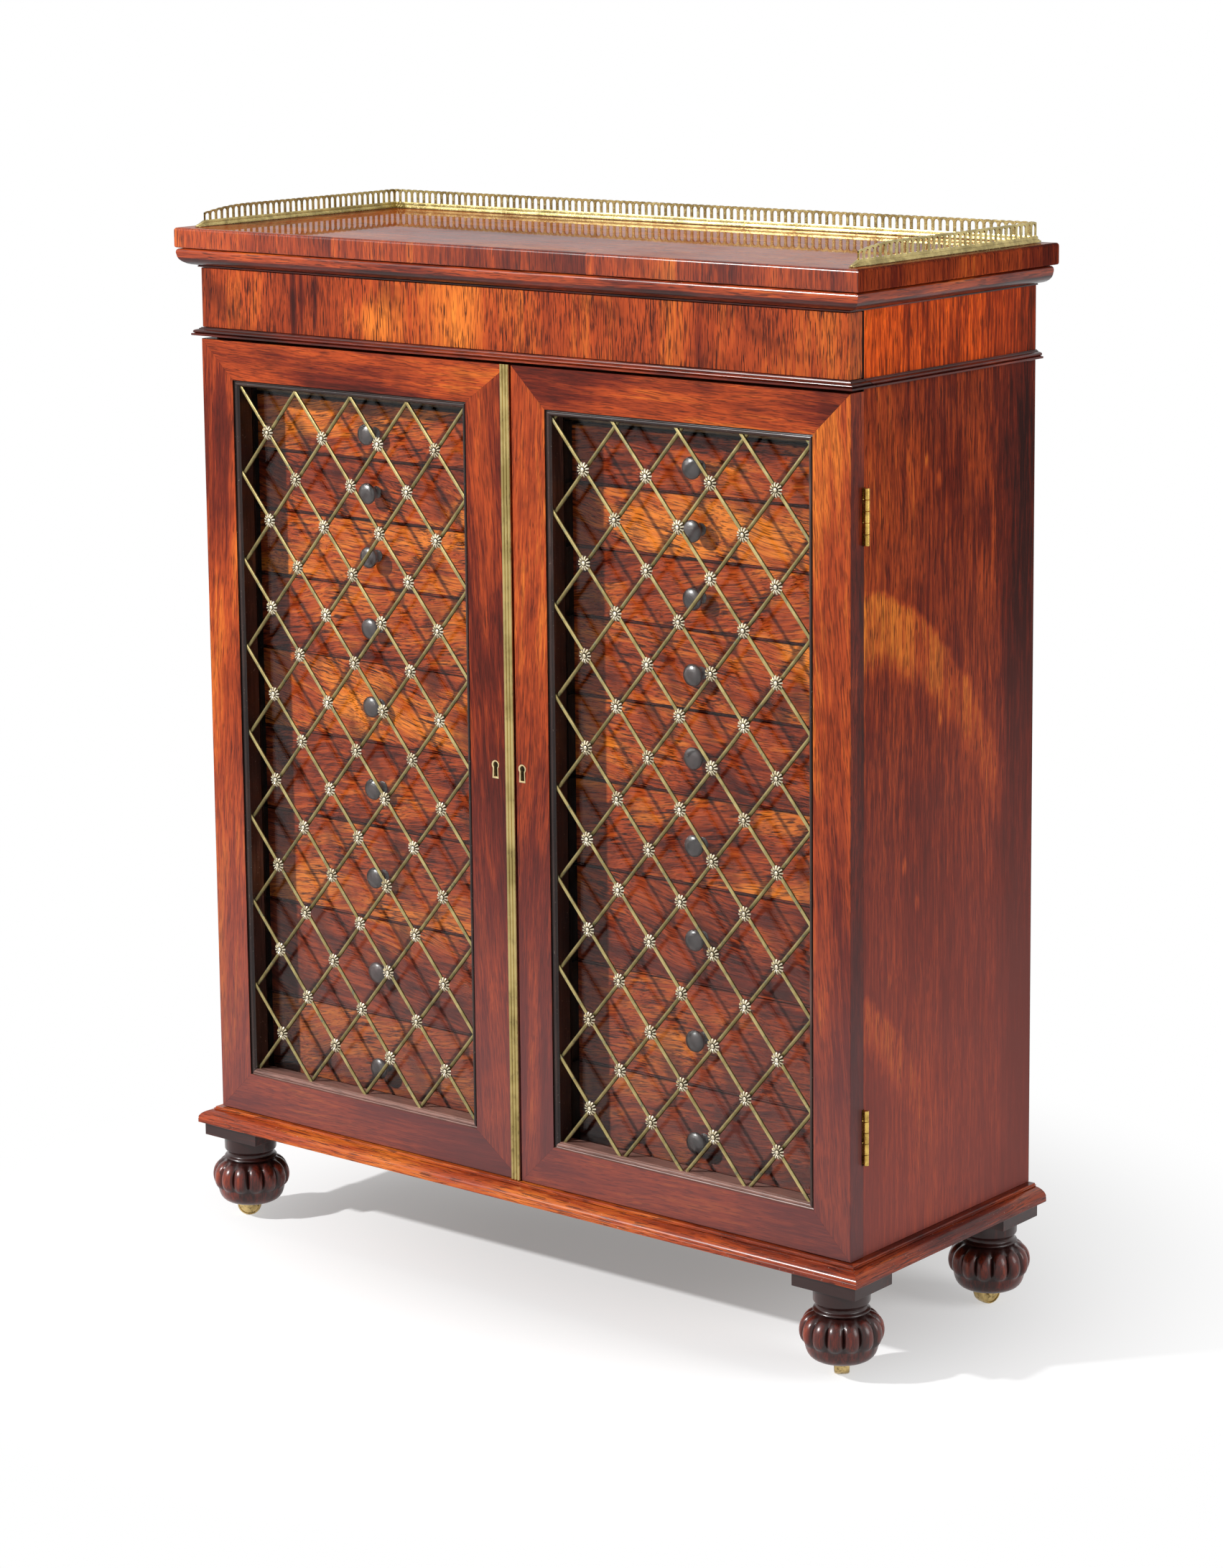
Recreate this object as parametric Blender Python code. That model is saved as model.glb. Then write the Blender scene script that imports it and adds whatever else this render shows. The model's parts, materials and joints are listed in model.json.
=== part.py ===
"""Collectors cabinet with a pierced brass gallery, latticed glass doors and two banks of drawers.

Units are metres and +Z is up. X runs left to right, the doors face -Y, and the origin is on the
floor under the middle of the cabinet. Depths are measured backwards from the face of the doors.
"""
import math

import bmesh
import bpy
from mathutils import Matrix, Vector

# Clearances
SEAT_GAP = 0.0003
RUNNING_GAP = 0.0005
DOOR_GAP = 0.0007

# How far a cutting tool runs past what it cuts, and how far a joined part is sunk
OVERSHOOT = 0.0050
PIVOT_MARK_SIZE = 0.02
SINK = 0.0010

# Carcase
CASE_HALF_WIDTH = 0.333
CASE_DEPTH = 0.249
SIDE_THICK = 0.025
BACK_THICK = 0.008
BOTTOM_THICK = 0.0143
PARTITION_WIDTH = 0.072
PARTITION_WALL = 0.012
PARTITION_FACE = 0.018
DUST_BOARD_THICK = 0.014
TOP_RAIL_DROP = 0.0322
TOP_RAIL_THICK = 0.020

# Drawer banks: heights of the nine drawers from the top one down
DRAWER_HEIGHTS = (0.0473, 0.0509, 0.0558, 0.0638, 0.0682, 0.0720, 0.0800, 0.0837, 0.0835)
DRAWER_SET_BACK = 0.038
DRAWER_BACK_ROOM = 0.0047
DRAWER_FRONT_THICK = 0.010
DRAWER_WALL = 0.006
DRAWER_JOINT_GAP = 0.0010
DRAWER_TOP_CLEARANCE = 0.0028
TONGUE_REACH = 0.0035
TONGUE_THICK = 0.0030

# Drawer knobs, which were set by hand a little off the middle of each bank
KNOB_OFFSET_LEFT = -0.0014
KNOB_OFFSET_RIGHT = -0.0070
KNOB_RADIUS = 0.0090
KNOB_REACH = 0.0150
KNOB_SIDES = 8

# Knob profile from the drawer outwards: radius, and distance from the drawer's face
KNOB_PROFILE = ((0.00495, -SINK), (0.0027, 0.00525), (KNOB_RADIUS, 0.0102), (0.0083, 0.0129),
                (0.00405, KNOB_REACH))

# Doors
DOOR_THICK = 0.017
DOOR_PROUD = 0.0010
DOOR_TOP_MARGIN = 0.0006
HINGE_STILE = 0.0348
MEETING_STILE_LEFT_COVER = 0.0061
MEETING_STILE_RIGHT_COVER = 0.0038
TOP_RAIL = 0.0330
BOTTOM_RAIL = 0.0345
MEETING_EDGE = 0.0041
MEETING_GAP = 0.0016
SLIP_WIDTH = 0.0050

# Slip moulding inside the door frame: width past the frame's inner edge, and depth below the door face
SLIP_PROFILE = ((0.0, 0.0), (0.0004, 0.0020), (0.0014, 0.0022), (0.0022, 0.0012), (0.0035, 0.0010),
                (0.0046, 0.0017), (SLIP_WIDTH, 0.0032), (SLIP_WIDTH, DOOR_THICK))

# Brass strip down the meeting edge of the left door
STRIP_WIDTH = 0.0092
STRIP_THICK = 0.0016
STRIP_REEDS = 3

# One reed of the strip: share of its width, and how far it stands off the door
REED_PROFILE = ((0.04, 0.0009), (0.28, STRIP_THICK), (0.72, STRIP_THICK), (0.96, 0.0009))

# Glass
GLASS_THICK = 0.0020
BEAD_LAND = 0.0024
BEAD_LIP = 0.0040
BEAD_THICK = 0.0026

# Keyholes, measured from the meeting edge of each door
KEYHOLE_HEIGHT = 0.0152
KEYHOLE_WIDTH = 0.0080
KEYHOLE_DEPTH = 0.0060
KEYHOLE_ABOVE_DOOR_FOOT = 0.3399
KEYHOLE_INSET_LEFT = 0.0200
KEYHOLE_INSET_RIGHT = 0.0065
KEYHOLE_FOOT_WIDTH = 0.0068
KEYHOLE_HEAD_POINTS = 8
KEYHOLE_HEAD_START = -45.0
KEYHOLE_HEAD_SWEEP = 270.0

# Brass lattice
LATTICE_COLUMNS = 4
LATTICE_ROWS = 8
ROD_WIDTH = 0.0032
ROD_FRONT = 0.0040
ROD_THICK = 0.0024
ROSETTE_RADIUS = 0.0060
ROSETTE_STAND = 0.0012
LATTICE_DROP_RIGHT = 0.0030

# Butt hinges
HINGE_HEIGHT = 0.0436
HINGE_LOW_Z_ABOVE_DOOR_FOOT = 0.0734
HINGE_TOP_Z_BELOW_DOOR_TOP = 0.0718
HINGE_LEAF_WIDTH = 0.0180
HINGE_LEAF_THICK = 0.0015
PIVOT_OUT = 0.0035
KNUCKLE_RADIUS = 0.0022
KNUCKLES = 5
KNUCKLE_SIDES = 8
PIN_RADIUS = 0.0009
PIN_CLEARANCE = 0.0003

# Frieze and its drawer
WAIST_GAP = 0.0028
WAIST_HEIGHT = 0.0066
WAIST_SPREAD = 0.0070
WAIST_LIP = 0.00165
WAIST_BEAD_Z = 0.0046
WAIST_BEAD_SPREAD = 0.0055
WAIST_QUIRK_Z = 0.0059
WAIST_QUIRK_SPREAD = 0.0021
FRIEZE_HEIGHT = 0.0500
FRIEZE_SET_BACK = 0.0007
FRIEZE_THICK = 0.0160
FRIEZE_WALL = 0.0080
FRIEZE_FLOOR = 0.0040
FRIEZE_BACK_ROOM = 0.0250
FRIEZE_BOX_DROP = 0.0020

# Cornice
CORNICE_HEIGHT = 0.0159
CORNICE_FILLET = 0.0012
CORNICE_RUN_SIDE = 0.0155
CORNICE_RUN_FRONT = 0.0114
CORNICE_CURVE_START = 12.0
CORNICE_CURVE_SHARE = 0.72
CORNICE_TOP_SHARE = 0.90
CURVE_STEPS = 4

# Top board
TOP_PROUD_SIDE = 0.0170
TOP_THICK = 0.0169
TOP_FRONT = 0.0130
TOP_PROUD_BACK = 0.0060
TOP_ARRIS = 0.0007

# Gallery
GALLERY_HEIGHT = 0.0165
GALLERY_INSET_SIDE = 0.0150
GALLERY_INSET_BACK = 0.0100
GALLERY_INSET_FRONT = 0.0110
GALLERY_PITCH = 0.0069
GALLERY_SHEET = 0.0012
GALLERY_BASE_WIDTH = 0.0060
GALLERY_BASE_HEIGHT = 0.0050
GALLERY_BAR = 0.0028
GALLERY_RIM = 0.0022
GALLERY_ARCH = 0.0014
GALLERY_SWEEP_DROP = 0.0048
GALLERY_SWEEP_LENGTH = 0.050
GALLERY_SWEEP_STEPS = 7
GALLERY_NOSE = 0.0100
GALLERY_NOSE_FLATNESS = 0.30
GALLERY_STEP = 0.0023
GALLERY_TOE = 0.0016

# Base moulding
BASE_THICK = 0.0135
BASE_FILLET_HEIGHT = 0.0012
BASE_PROUD = 0.0145
BASE_RUN = 0.0120
BASE_LIP_HEIGHT = 0.0038

# Feet
FOOT_PLATE_WIDTH = 0.060
FOOT_PLATE_DEPTH = 0.0496
FOOT_PLATE_THICK = 0.0110
FOOT_INSET_SIDE = 0.0343
FOOT_FRONT_DEPTH = 0.0143
FOOT_INSET_BACK = 0.0310
BUN_HEIGHT = 0.0621
BUN_CLEARANCE = 0.0100
BUN_RADIUS = 0.0330
LOBES = 16
LOBE_DEPTH = 0.0042
SOCKET_RADIUS = 0.0155
SOCKET_DEPTH = 0.0150
SWIVEL_HOLE_DEPTH = 0.0140
SWIVEL_HOLE_SIDES = 8

# Foot profile from the bottom up: radius, height above the bun's underside, depth of the lobes there
FOOT_PROFILE = ((0.0167, 0.0018, 0.0), (0.0253, 0.0083, 0.0), (0.0292, 0.0180, 0.0),
                (0.0318, 0.0215, LOBE_DEPTH * 0.5), (BUN_RADIUS, 0.0280, LOBE_DEPTH),
                (0.0290, 0.0370, LOBE_DEPTH * 0.7), (0.0215, 0.0412, 0.0), (0.0232, 0.0436, 0.0),
                (0.0205, 0.0475, 0.0), (0.0225, 0.0641, 0.0))

# Casters
WHEEL_RADIUS = 0.0107
WHEEL_WIDTH = 0.0115
WHEEL_SIDES = 16
WHEEL_TRAIL = 0.0020
CHEEK_THICK = 0.0016
CHEEK_WIDTH = 0.0090
CHEEK_DROP = 0.0030
WHEEL_CROWN = 0.0009
WHEEL_FLAT_SHARE = 0.60
AXLE_RADIUS = 0.0014
SWIVEL_PLATE_RADIUS = 0.0138
SWIVEL_PLATE_THICK = 0.0020
SWIVEL_PIN_RADIUS = 0.0030
PLATE_SIDES = 12
PIN_SIDES = 6
CASTER_TURNS = {"front_left": 128.0, "front_right": 38.0, "back_left": 75.0, "back_right": 165.0}

# Heights that follow, from the floor up
WHEEL_FLAT = WHEEL_RADIUS * math.cos(math.pi / WHEEL_SIDES)
BUN_BOTTOM_Z = BUN_CLEARANCE
PLATE_BOTTOM_Z = BUN_BOTTOM_Z + BUN_HEIGHT
PLATE_TOP_Z = PLATE_BOTTOM_Z + FOOT_PLATE_THICK
BASE_BOTTOM_Z = PLATE_TOP_Z + SEAT_GAP
BASE_TOP_Z = BASE_BOTTOM_Z + BASE_THICK
CASE_BOTTOM_Z = BASE_TOP_Z + SEAT_GAP
BOTTOM_BOARD_TOP_Z = CASE_BOTTOM_Z + BOTTOM_THICK
BANK_BOTTOM_Z = BOTTOM_BOARD_TOP_Z + SEAT_GAP
BANK_TOP_Z = BANK_BOTTOM_Z + sum(DRAWER_HEIGHTS)
RAIL_BOTTOM_Z = BANK_TOP_Z + DRAWER_TOP_CLEARANCE
DUST_BOARD_Z = RAIL_BOTTOM_Z + TOP_RAIL_DROP
DUST_BOARD_TOP_Z = DUST_BOARD_Z + DUST_BOARD_THICK
DOOR_BOTTOM_Z = BASE_TOP_Z + DOOR_GAP
DOOR_TOP_Z = DUST_BOARD_TOP_Z - DOOR_TOP_MARGIN
WAIST_BOTTOM_Z = DOOR_TOP_Z + WAIST_GAP
WAIST_TOP_Z = WAIST_BOTTOM_Z + WAIST_HEIGHT
FRIEZE_TOP_Z = WAIST_TOP_Z + FRIEZE_HEIGHT
CORNICE_BOTTOM_Z = FRIEZE_TOP_Z + RUNNING_GAP
CORNICE_TOP_Z = CORNICE_BOTTOM_Z + CORNICE_HEIGHT
TOP_BOTTOM_Z = CORNICE_TOP_Z + SEAT_GAP
TOP_TOP_Z = TOP_BOTTOM_Z + TOP_THICK
GALLERY_Z = TOP_TOP_Z + SEAT_GAP

# How far the waist moulding stands out, and how high above its underside, from the bottom up
WAIST_PROFILE = ((WAIST_SPREAD, 0.0), (WAIST_SPREAD, WAIST_LIP), (WAIST_BEAD_SPREAD, WAIST_BEAD_Z),
                 (WAIST_QUIRK_SPREAD, WAIST_QUIRK_Z), (DOOR_PROUD, WAIST_HEIGHT))

# Widths and depths that follow
INNER_HALF_WIDTH = CASE_HALF_WIDTH - SIDE_THICK
BANK_CENTRE_X = (INNER_HALF_WIDTH + PARTITION_WIDTH / 2) / 2
CASE_FRONT = DOOR_THICK + SEAT_GAP
BACK_FRONT = CASE_DEPTH - BACK_THICK
CASE_INSIDE_BACK = BACK_FRONT - SEAT_GAP
DRAWER_LENGTH = CASE_INSIDE_BACK - DRAWER_SET_BACK - DRAWER_BACK_ROOM
FRIEZE_LENGTH = CASE_INSIDE_BACK - FRIEZE_SET_BACK - FRIEZE_BACK_ROOM
TOP_HALF_WIDTH = CASE_HALF_WIDTH + TOP_PROUD_SIDE
TOP_BACK = CASE_DEPTH + TOP_PROUD_BACK
FOOT_CENTRE_X = TOP_HALF_WIDTH - FOOT_INSET_SIDE
FOOT_BACK_DEPTH = CASE_DEPTH - FOOT_INSET_BACK
DOOR_OUTER_X = CASE_HALF_WIDTH + DOOR_PROUD
DOOR_INNER_X = {-1: MEETING_EDGE, 1: MEETING_EDGE + MEETING_GAP}
MEETING_STILE = {-1: PARTITION_WIDTH / 2 + MEETING_STILE_LEFT_COVER + DOOR_INNER_X[-1],
                 1: PARTITION_WIDTH / 2 + MEETING_STILE_RIGHT_COVER - DOOR_INNER_X[1]}
PANE_FRONT = DOOR_THICK + SEAT_GAP
PANE_BACK = PANE_FRONT + GLASS_THICK
PIVOT_X = CASE_HALF_WIDTH + PIVOT_OUT
PIVOT_DEPTH = DOOR_THICK + SEAT_GAP / 2
FRONTMOST = max(BASE_PROUD, TOP_FRONT, BUN_RADIUS - FOOT_FRONT_DEPTH)
FACE_Y = -(TOP_BACK - FRONTMOST) / 2

SIDES = {-1: "left", 1: "right"}


def at_depth(depth):
    """World Y of a depth behind the face of the doors."""
    return FACE_Y + depth


# Materials


def material(name, colour, roughness, metallic=0.0, alpha=1.0):
    """A Principled material with one colour."""
    result = bpy.data.materials.new(name)
    result.use_nodes = True
    shader = result.node_tree.nodes["Principled BSDF"]
    shader.inputs["Base Color"].default_value = (*colour, 1.0)
    shader.inputs["Roughness"].default_value = roughness
    shader.inputs["Metallic"].default_value = metallic
    shader.inputs["Alpha"].default_value = alpha
    return result


LOOKS = {
    "veneer": ((0.20, 0.045, 0.018), 0.25, 0.0, 1.0),
    "moulding": ((0.11, 0.020, 0.010), 0.20, 0.0, 1.0),
    "drawer_wood": ((0.30, 0.085, 0.030), 0.35, 0.0, 1.0),
    "inside_wood": ((0.17, 0.080, 0.040), 0.60, 0.0, 1.0),
    "brass": ((0.62, 0.45, 0.17), 0.35, 1.0, 1.0),
    "glass": ((0.90, 0.93, 0.92), 0.03, 0.0, 0.35),
}


def dress(thing, look):
    """Give a piece its own material of one of the LOOKS."""
    colour, roughness, metallic, alpha = LOOKS[look]
    thing.data.materials.clear()
    thing.data.materials.append(material(thing.name, colour, roughness, metallic, alpha))
    return thing


# Basic solids


def make_object(name, builder):
    """Turn a bmesh into an object, with its faces pointing out."""
    bmesh.ops.recalc_face_normals(builder, faces=builder.faces)
    mesh = bpy.data.meshes.new(name)
    builder.to_mesh(mesh)
    builder.free()
    thing = bpy.data.objects.new(name, mesh)
    bpy.context.scene.collection.objects.link(thing)
    return thing


def loft(name, rings, closed_path=False):
    """Join rings of points into a solid. A ring may have half or twice the points of the one before."""
    builder = bmesh.new()
    verts = [[builder.verts.new(point) for point in ring] for ring in rings]
    pairs = list(zip(verts, verts[1:]))
    if closed_path:
        pairs.append((verts[-1], verts[0]))
    else:
        builder.faces.new(verts[0])
        builder.faces.new(verts[-1])
    for low, high in pairs:
        bridge(builder, low, high)
    return make_object(name, builder)


def bridge(builder, low, high):
    """Faces between two rings of equal size, or of which one has twice the points of the other."""
    if len(low) == len(high):
        for i in range(len(low)):
            j = (i + 1) % len(low)
            builder.faces.new((low[i], low[j], high[j], high[i]))
        return
    fine, coarse = (low, high) if len(low) > len(high) else (high, low)
    for i in range(len(coarse)):
        j = (i + 1) % len(coarse)
        before, middle, after = fine[2 * i], fine[2 * i + 1], fine[(2 * i + 2) % len(fine)]
        builder.faces.new((coarse[i], before, middle))
        builder.faces.new((coarse[i], middle, coarse[j]))
        builder.faces.new((coarse[j], middle, after))


def box(name, low, high):
    """A rectangular block between two corners given in world coordinates."""
    rings = []
    for z in (low[2], high[2]):
        rings.append([(low[0], low[1], z), (high[0], low[1], z), (high[0], high[1], z), (low[0], high[1], z)])
    return loft(name, rings)


def block(name, x_range, depth_range, z_range):
    """A rectangular block given by its X, depth and Z ranges, in either order."""
    xs, depths, zs = sorted(x_range), sorted(depth_range), sorted(z_range)
    return box(name, (xs[0], at_depth(depths[0]), zs[0]), (xs[1], at_depth(depths[1]), zs[1]))


def stack(name, levels):
    """A board with moulded front and side edges: levels are (z, half width, front depth, back depth)."""
    rings = []
    for z, half, front, back in levels:
        corners = ((-half, front), (half, front), (half, back), (-half, back))
        rings.append([(x, at_depth(depth), z) for x, depth in corners])
    return loft(name, rings)


def ring_points(radius, z, count, lobe_depth=0.0):
    """A level ring of points. With a lobe depth, every second point is drawn in."""
    points = []
    for i in range(count):
        angle = 2 * math.pi * i / count
        reach = radius - (lobe_depth if i % 2 else 0.0)
        points.append((reach * math.cos(angle), reach * math.sin(angle), z))
    return points


def lathe(name, profile, sides):
    """A turned solid about Z from (radius, z) points, bottom to top, with flat ends."""
    return loft(name, [ring_points(radius, z, sides) for radius, z in profile])


def turn_and_place(thing, turn, place):
    """Apply a rotation and then a shift to a piece's mesh."""
    thing.data.transform(Matrix.Translation(place) @ turn)
    return thing


def combine(target, tool, operation):
    """Apply an exact Boolean of the tool to the target and remove the tool."""
    modifier = target.modifiers.new("combine", "BOOLEAN")
    modifier.operation = operation
    modifier.solver = "EXACT"
    modifier.object = tool
    bake(target)
    bpy.data.objects.remove(tool)
    return target


def bake(thing):
    """Replace a piece's mesh by the mesh that its modifiers make."""
    graph = bpy.context.evaluated_depsgraph_get()
    mesh = bpy.data.meshes.new_from_object(thing.evaluated_get(graph))
    thing.modifiers.clear()
    old = thing.data
    thing.data = mesh
    bpy.data.meshes.remove(old)


def fuse(target, tools):
    """Join several solids to the target."""
    for tool in tools:
        combine(target, tool, "UNION")
    return target


def cut(target, tools):
    """Cut several solids from the target."""
    for tool in tools:
        combine(target, tool, "DIFFERENCE")
    return target


def seat(thing, origin, parent=None):
    """Put a piece's origin at a world point, and hang it on a parent empty when there is one."""
    origin = Vector(origin)
    thing.data.transform(Matrix.Translation(-origin))
    thing.location = origin
    if parent:
        thing.parent = parent
        thing.location = origin - parent.location
    return thing


def pivot(name, place):
    """An empty that marks a joint."""
    empty = bpy.data.objects.new(name, None)
    empty.location = place
    empty.empty_display_size = PIVOT_MARK_SIZE
    bpy.context.scene.collection.objects.link(empty)
    return empty


# Top, gallery, cornice and base


def make_top_board():
    inset = TOP_ARRIS
    levels = [
        (TOP_BOTTOM_Z, TOP_HALF_WIDTH - inset, -TOP_FRONT + inset, TOP_BACK),
        (TOP_BOTTOM_Z + inset, TOP_HALF_WIDTH, -TOP_FRONT, TOP_BACK),
        (TOP_TOP_Z - inset, TOP_HALF_WIDTH, -TOP_FRONT, TOP_BACK),
        (TOP_TOP_Z, TOP_HALF_WIDTH - inset, -TOP_FRONT + inset, TOP_BACK),
    ]
    return dress(stack("top_board", levels), "veneer")


def make_cornice():
    """An ovolo under the top board, a fillet below it, open at the back to go round the carcase."""
    half = TOP_HALF_WIDTH - TOP_ARRIS - CORNICE_RUN_SIDE
    front = -TOP_FRONT + TOP_ARRIS + CORNICE_RUN_FRONT
    rise = CORNICE_HEIGHT - CORNICE_FILLET
    levels = [
        (CORNICE_BOTTOM_Z, half, front, CASE_DEPTH),
        (CORNICE_BOTTOM_Z + CORNICE_FILLET, half, front, CASE_DEPTH),
    ]
    for i in range(CURVE_STEPS + 1):
        angle = math.radians(CORNICE_CURVE_START + (90.0 - CORNICE_CURVE_START) * i / CURVE_STEPS)
        run = math.sin(angle)
        z = CORNICE_BOTTOM_Z + CORNICE_FILLET + rise * CORNICE_CURVE_SHARE * (1 - math.cos(angle))
        levels.append((z, half + CORNICE_RUN_SIDE * run, front - CORNICE_RUN_FRONT * run, CASE_DEPTH))
    side_run, front_run = CORNICE_RUN_SIDE * CORNICE_TOP_SHARE, CORNICE_RUN_FRONT * CORNICE_TOP_SHARE
    levels.append((CORNICE_TOP_Z, half + side_run, front - front_run, CASE_DEPTH))
    cornice = stack("cornice_moulding", levels)
    room = CASE_HALF_WIDTH + SEAT_GAP
    z_range = (CORNICE_BOTTOM_Z - OVERSHOOT, CORNICE_TOP_Z + OVERSHOOT)
    core = block("core", (-room, room), (DOOR_THICK, CASE_DEPTH + OVERSHOOT), z_range)
    return dress(cut(cornice, [core]), "moulding")


def make_base_moulding():
    """The board under the carcase, with a fillet, a convex ovolo and a square lip on three edges."""
    half = TOP_HALF_WIDTH - BASE_RUN
    front = -BASE_PROUD + BASE_RUN
    lip_top = BASE_BOTTOM_Z + BASE_LIP_HEIGHT
    rise = BASE_TOP_Z - BASE_FILLET_HEIGHT - lip_top
    levels = [
        (BASE_BOTTOM_Z, half + BASE_RUN, front - BASE_RUN, CASE_DEPTH),
        (lip_top, half + BASE_RUN, front - BASE_RUN, CASE_DEPTH),
    ]
    for i in range(1, CURVE_STEPS + 1):
        angle = math.radians(90 * i / CURVE_STEPS)
        run = BASE_RUN * math.cos(angle)
        z = lip_top + rise * math.sin(angle)
        levels.append((z, half + run, front - run, CASE_DEPTH))
    levels.append((BASE_TOP_Z, half, front, CASE_DEPTH))
    return dress(stack("base_moulding", levels), "moulding")


def pierced_wall(name, length, drop_at, sweep_ends=()):
    """An upright sheet of arched slots along +X. Its bars stand in the base. The top bends at sweep_ends."""
    count = round(length / GALLERY_PITCH)
    pitch = length / count
    foot = GALLERY_BASE_HEIGHT / 2

    def rim(x):
        return GALLERY_HEIGHT - drop_at(x)

    outline = [(0.0, foot)]
    for i in range(count):
        left, middle, right = i * pitch, (i + 0.5) * pitch, (i + 1) * pitch
        apex = rim(middle) - GALLERY_RIM
        spring = apex - GALLERY_ARCH
        left_bar, right_bar = left + GALLERY_BAR / 2, right - GALLERY_BAR / 2
        outline += [(left_bar, foot), (left_bar, spring), (middle, apex)]
        outline += [(right_bar, spring), (right_bar, foot)]
    outline += [(length, foot), (length, rim(length))]
    outline += [(x, rim(x)) for x in reversed(sweep_ends)]
    outline.append((0.0, rim(0.0)))
    rings = [[(x, side * GALLERY_SHEET / 2, z) for x, z in outline] for side in (-1, 1)]
    return loft(name, rings)


def make_gallery():
    """Three pierced walls on a stepped base that runs round three sides and noses out in front."""
    line_x = TOP_HALF_WIDTH - GALLERY_INSET_SIDE
    line_back = TOP_BACK - GALLERY_INSET_BACK
    nose_depth = -TOP_FRONT + GALLERY_INSET_FRONT
    wall_depth = nose_depth + GALLERY_NOSE

    half = GALLERY_BASE_WIDTH / 2
    bead = GALLERY_BASE_WIDTH / 4
    section = ((-half, 0.0), (-half, GALLERY_TOE), (-bead, GALLERY_STEP), (-bead, GALLERY_BASE_HEIGHT),
               (bead, GALLERY_BASE_HEIGHT), (bead, GALLERY_STEP), (half, GALLERY_TOE), (half, 0.0))
    flat = GALLERY_NOSE_FLATNESS
    rings = []
    for x_sign, depth_sign, depth, squash in ((-1, 0, nose_depth, flat), (-1, 0, wall_depth, 1.0),
                                              (-1, 1, line_back, 1.0), (1, 1, line_back, 1.0),
                                              (1, 0, wall_depth, 1.0), (1, 0, nose_depth, flat)):
        ring = []
        for out, z in section:
            place = (x_sign * (line_x + out), at_depth(depth + depth_sign * out), GALLERY_Z + z * squash)
            ring.append(place)
        rings.append(ring)
    base = loft("brass_gallery", rings)

    back_wall = pierced_wall("back", 2 * line_x, lambda x: 0.0)
    turn_and_place(back_wall, Matrix(), (-line_x, at_depth(line_back), GALLERY_Z))

    side_length = line_back + GALLERY_SHEET - wall_depth

    def swept(x):
        share = max(0.0, 1.0 - x / GALLERY_SWEEP_LENGTH)
        return GALLERY_SWEEP_DROP * share ** 2

    ends = [GALLERY_SWEEP_LENGTH * i / GALLERY_SWEEP_STEPS for i in range(1, GALLERY_SWEEP_STEPS + 1)]
    walls = [back_wall]
    for sign in SIDES:
        wall = pierced_wall("side", side_length, swept, ends)
        quarter = Matrix.Rotation(math.pi / 2, 4, "Z")
        walls.append(turn_and_place(wall, quarter, (sign * line_x, at_depth(wall_depth), GALLERY_Z)))
    return dress(fuse(base, walls), "brass")


# Carcase


def drawer_floors():
    """Underside height of each drawer's space, from the top drawer down."""
    floors = []
    z = BANK_TOP_Z
    for height in DRAWER_HEIGHTS:
        z -= height
        floors.append(z)
    return floors


def grooved_edge(x, inward, floors):
    """Points up a board's face at x, with a groove for each drawer's tongue. Inward is into the board."""
    depth = inward * (TONGUE_REACH + RUNNING_GAP)
    points = []
    for floor in sorted(floors):
        low = floor + DRAWER_JOINT_GAP / 2 - SEAT_GAP
        high = low + TONGUE_THICK + 2 * SEAT_GAP
        points += [(x, low), (x + depth, low), (x + depth, high), (x, high)]
    return points


def extrude_along_depth(name, outline, front, back):
    """A solid with an X and Z outline, run between two depths."""
    return loft(name, [[(x, at_depth(depth), z) for x, z in outline] for depth in (front, back)])


def hinge_heights():
    """Underside height of the lower and the upper hinge."""
    low = DOOR_BOTTOM_Z + HINGE_LOW_Z_ABOVE_DOOR_FOOT
    high = DOOR_TOP_Z - HINGE_TOP_Z_BELOW_DOOR_TOP - HINGE_HEIGHT
    return {"lower": low, "upper": high}


def leaf_range(sign):
    """X range of a hinge leaf."""
    outer = PIVOT_X - KNUCKLE_RADIUS - 2 * SEAT_GAP
    return sign * (outer - HINGE_LEAF_WIDTH), sign * outer


def leaf_recess(sign, low, depth_range):
    """The mortise for one hinge leaf, open at the outer edge."""
    inner = leaf_range(sign)[0] - sign * SEAT_GAP
    z_range = (low - SEAT_GAP, low + HINGE_HEIGHT + SEAT_GAP)
    return block("recess", (inner, sign * (DOOR_OUTER_X + OVERSHOOT)), depth_range, z_range)


def make_side(sign):
    outer, inner = sign * CASE_HALF_WIDTH, sign * INNER_HALF_WIDTH
    outline = [(outer, CASE_BOTTOM_Z), (inner, CASE_BOTTOM_Z)]
    outline += grooved_edge(inner, sign, drawer_floors())
    outline += [(inner, CORNICE_TOP_Z), (outer, CORNICE_TOP_Z)]
    panel = extrude_along_depth("side_panel_" + SIDES[sign], outline, CASE_FRONT, CASE_INSIDE_BACK)
    xs = tuple(sorted((inner, outer)))
    fuse(panel, [block("rear", xs, (CASE_INSIDE_BACK, CASE_DEPTH), (CASE_BOTTOM_Z, CORNICE_TOP_Z))])
    depths = (CASE_FRONT - OVERSHOOT, CASE_FRONT + HINGE_LEAF_THICK + SEAT_GAP)
    recesses = [leaf_recess(sign, low, depths) for low in hinge_heights().values()]
    return dress(cut(panel, recesses), "veneer")


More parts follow.
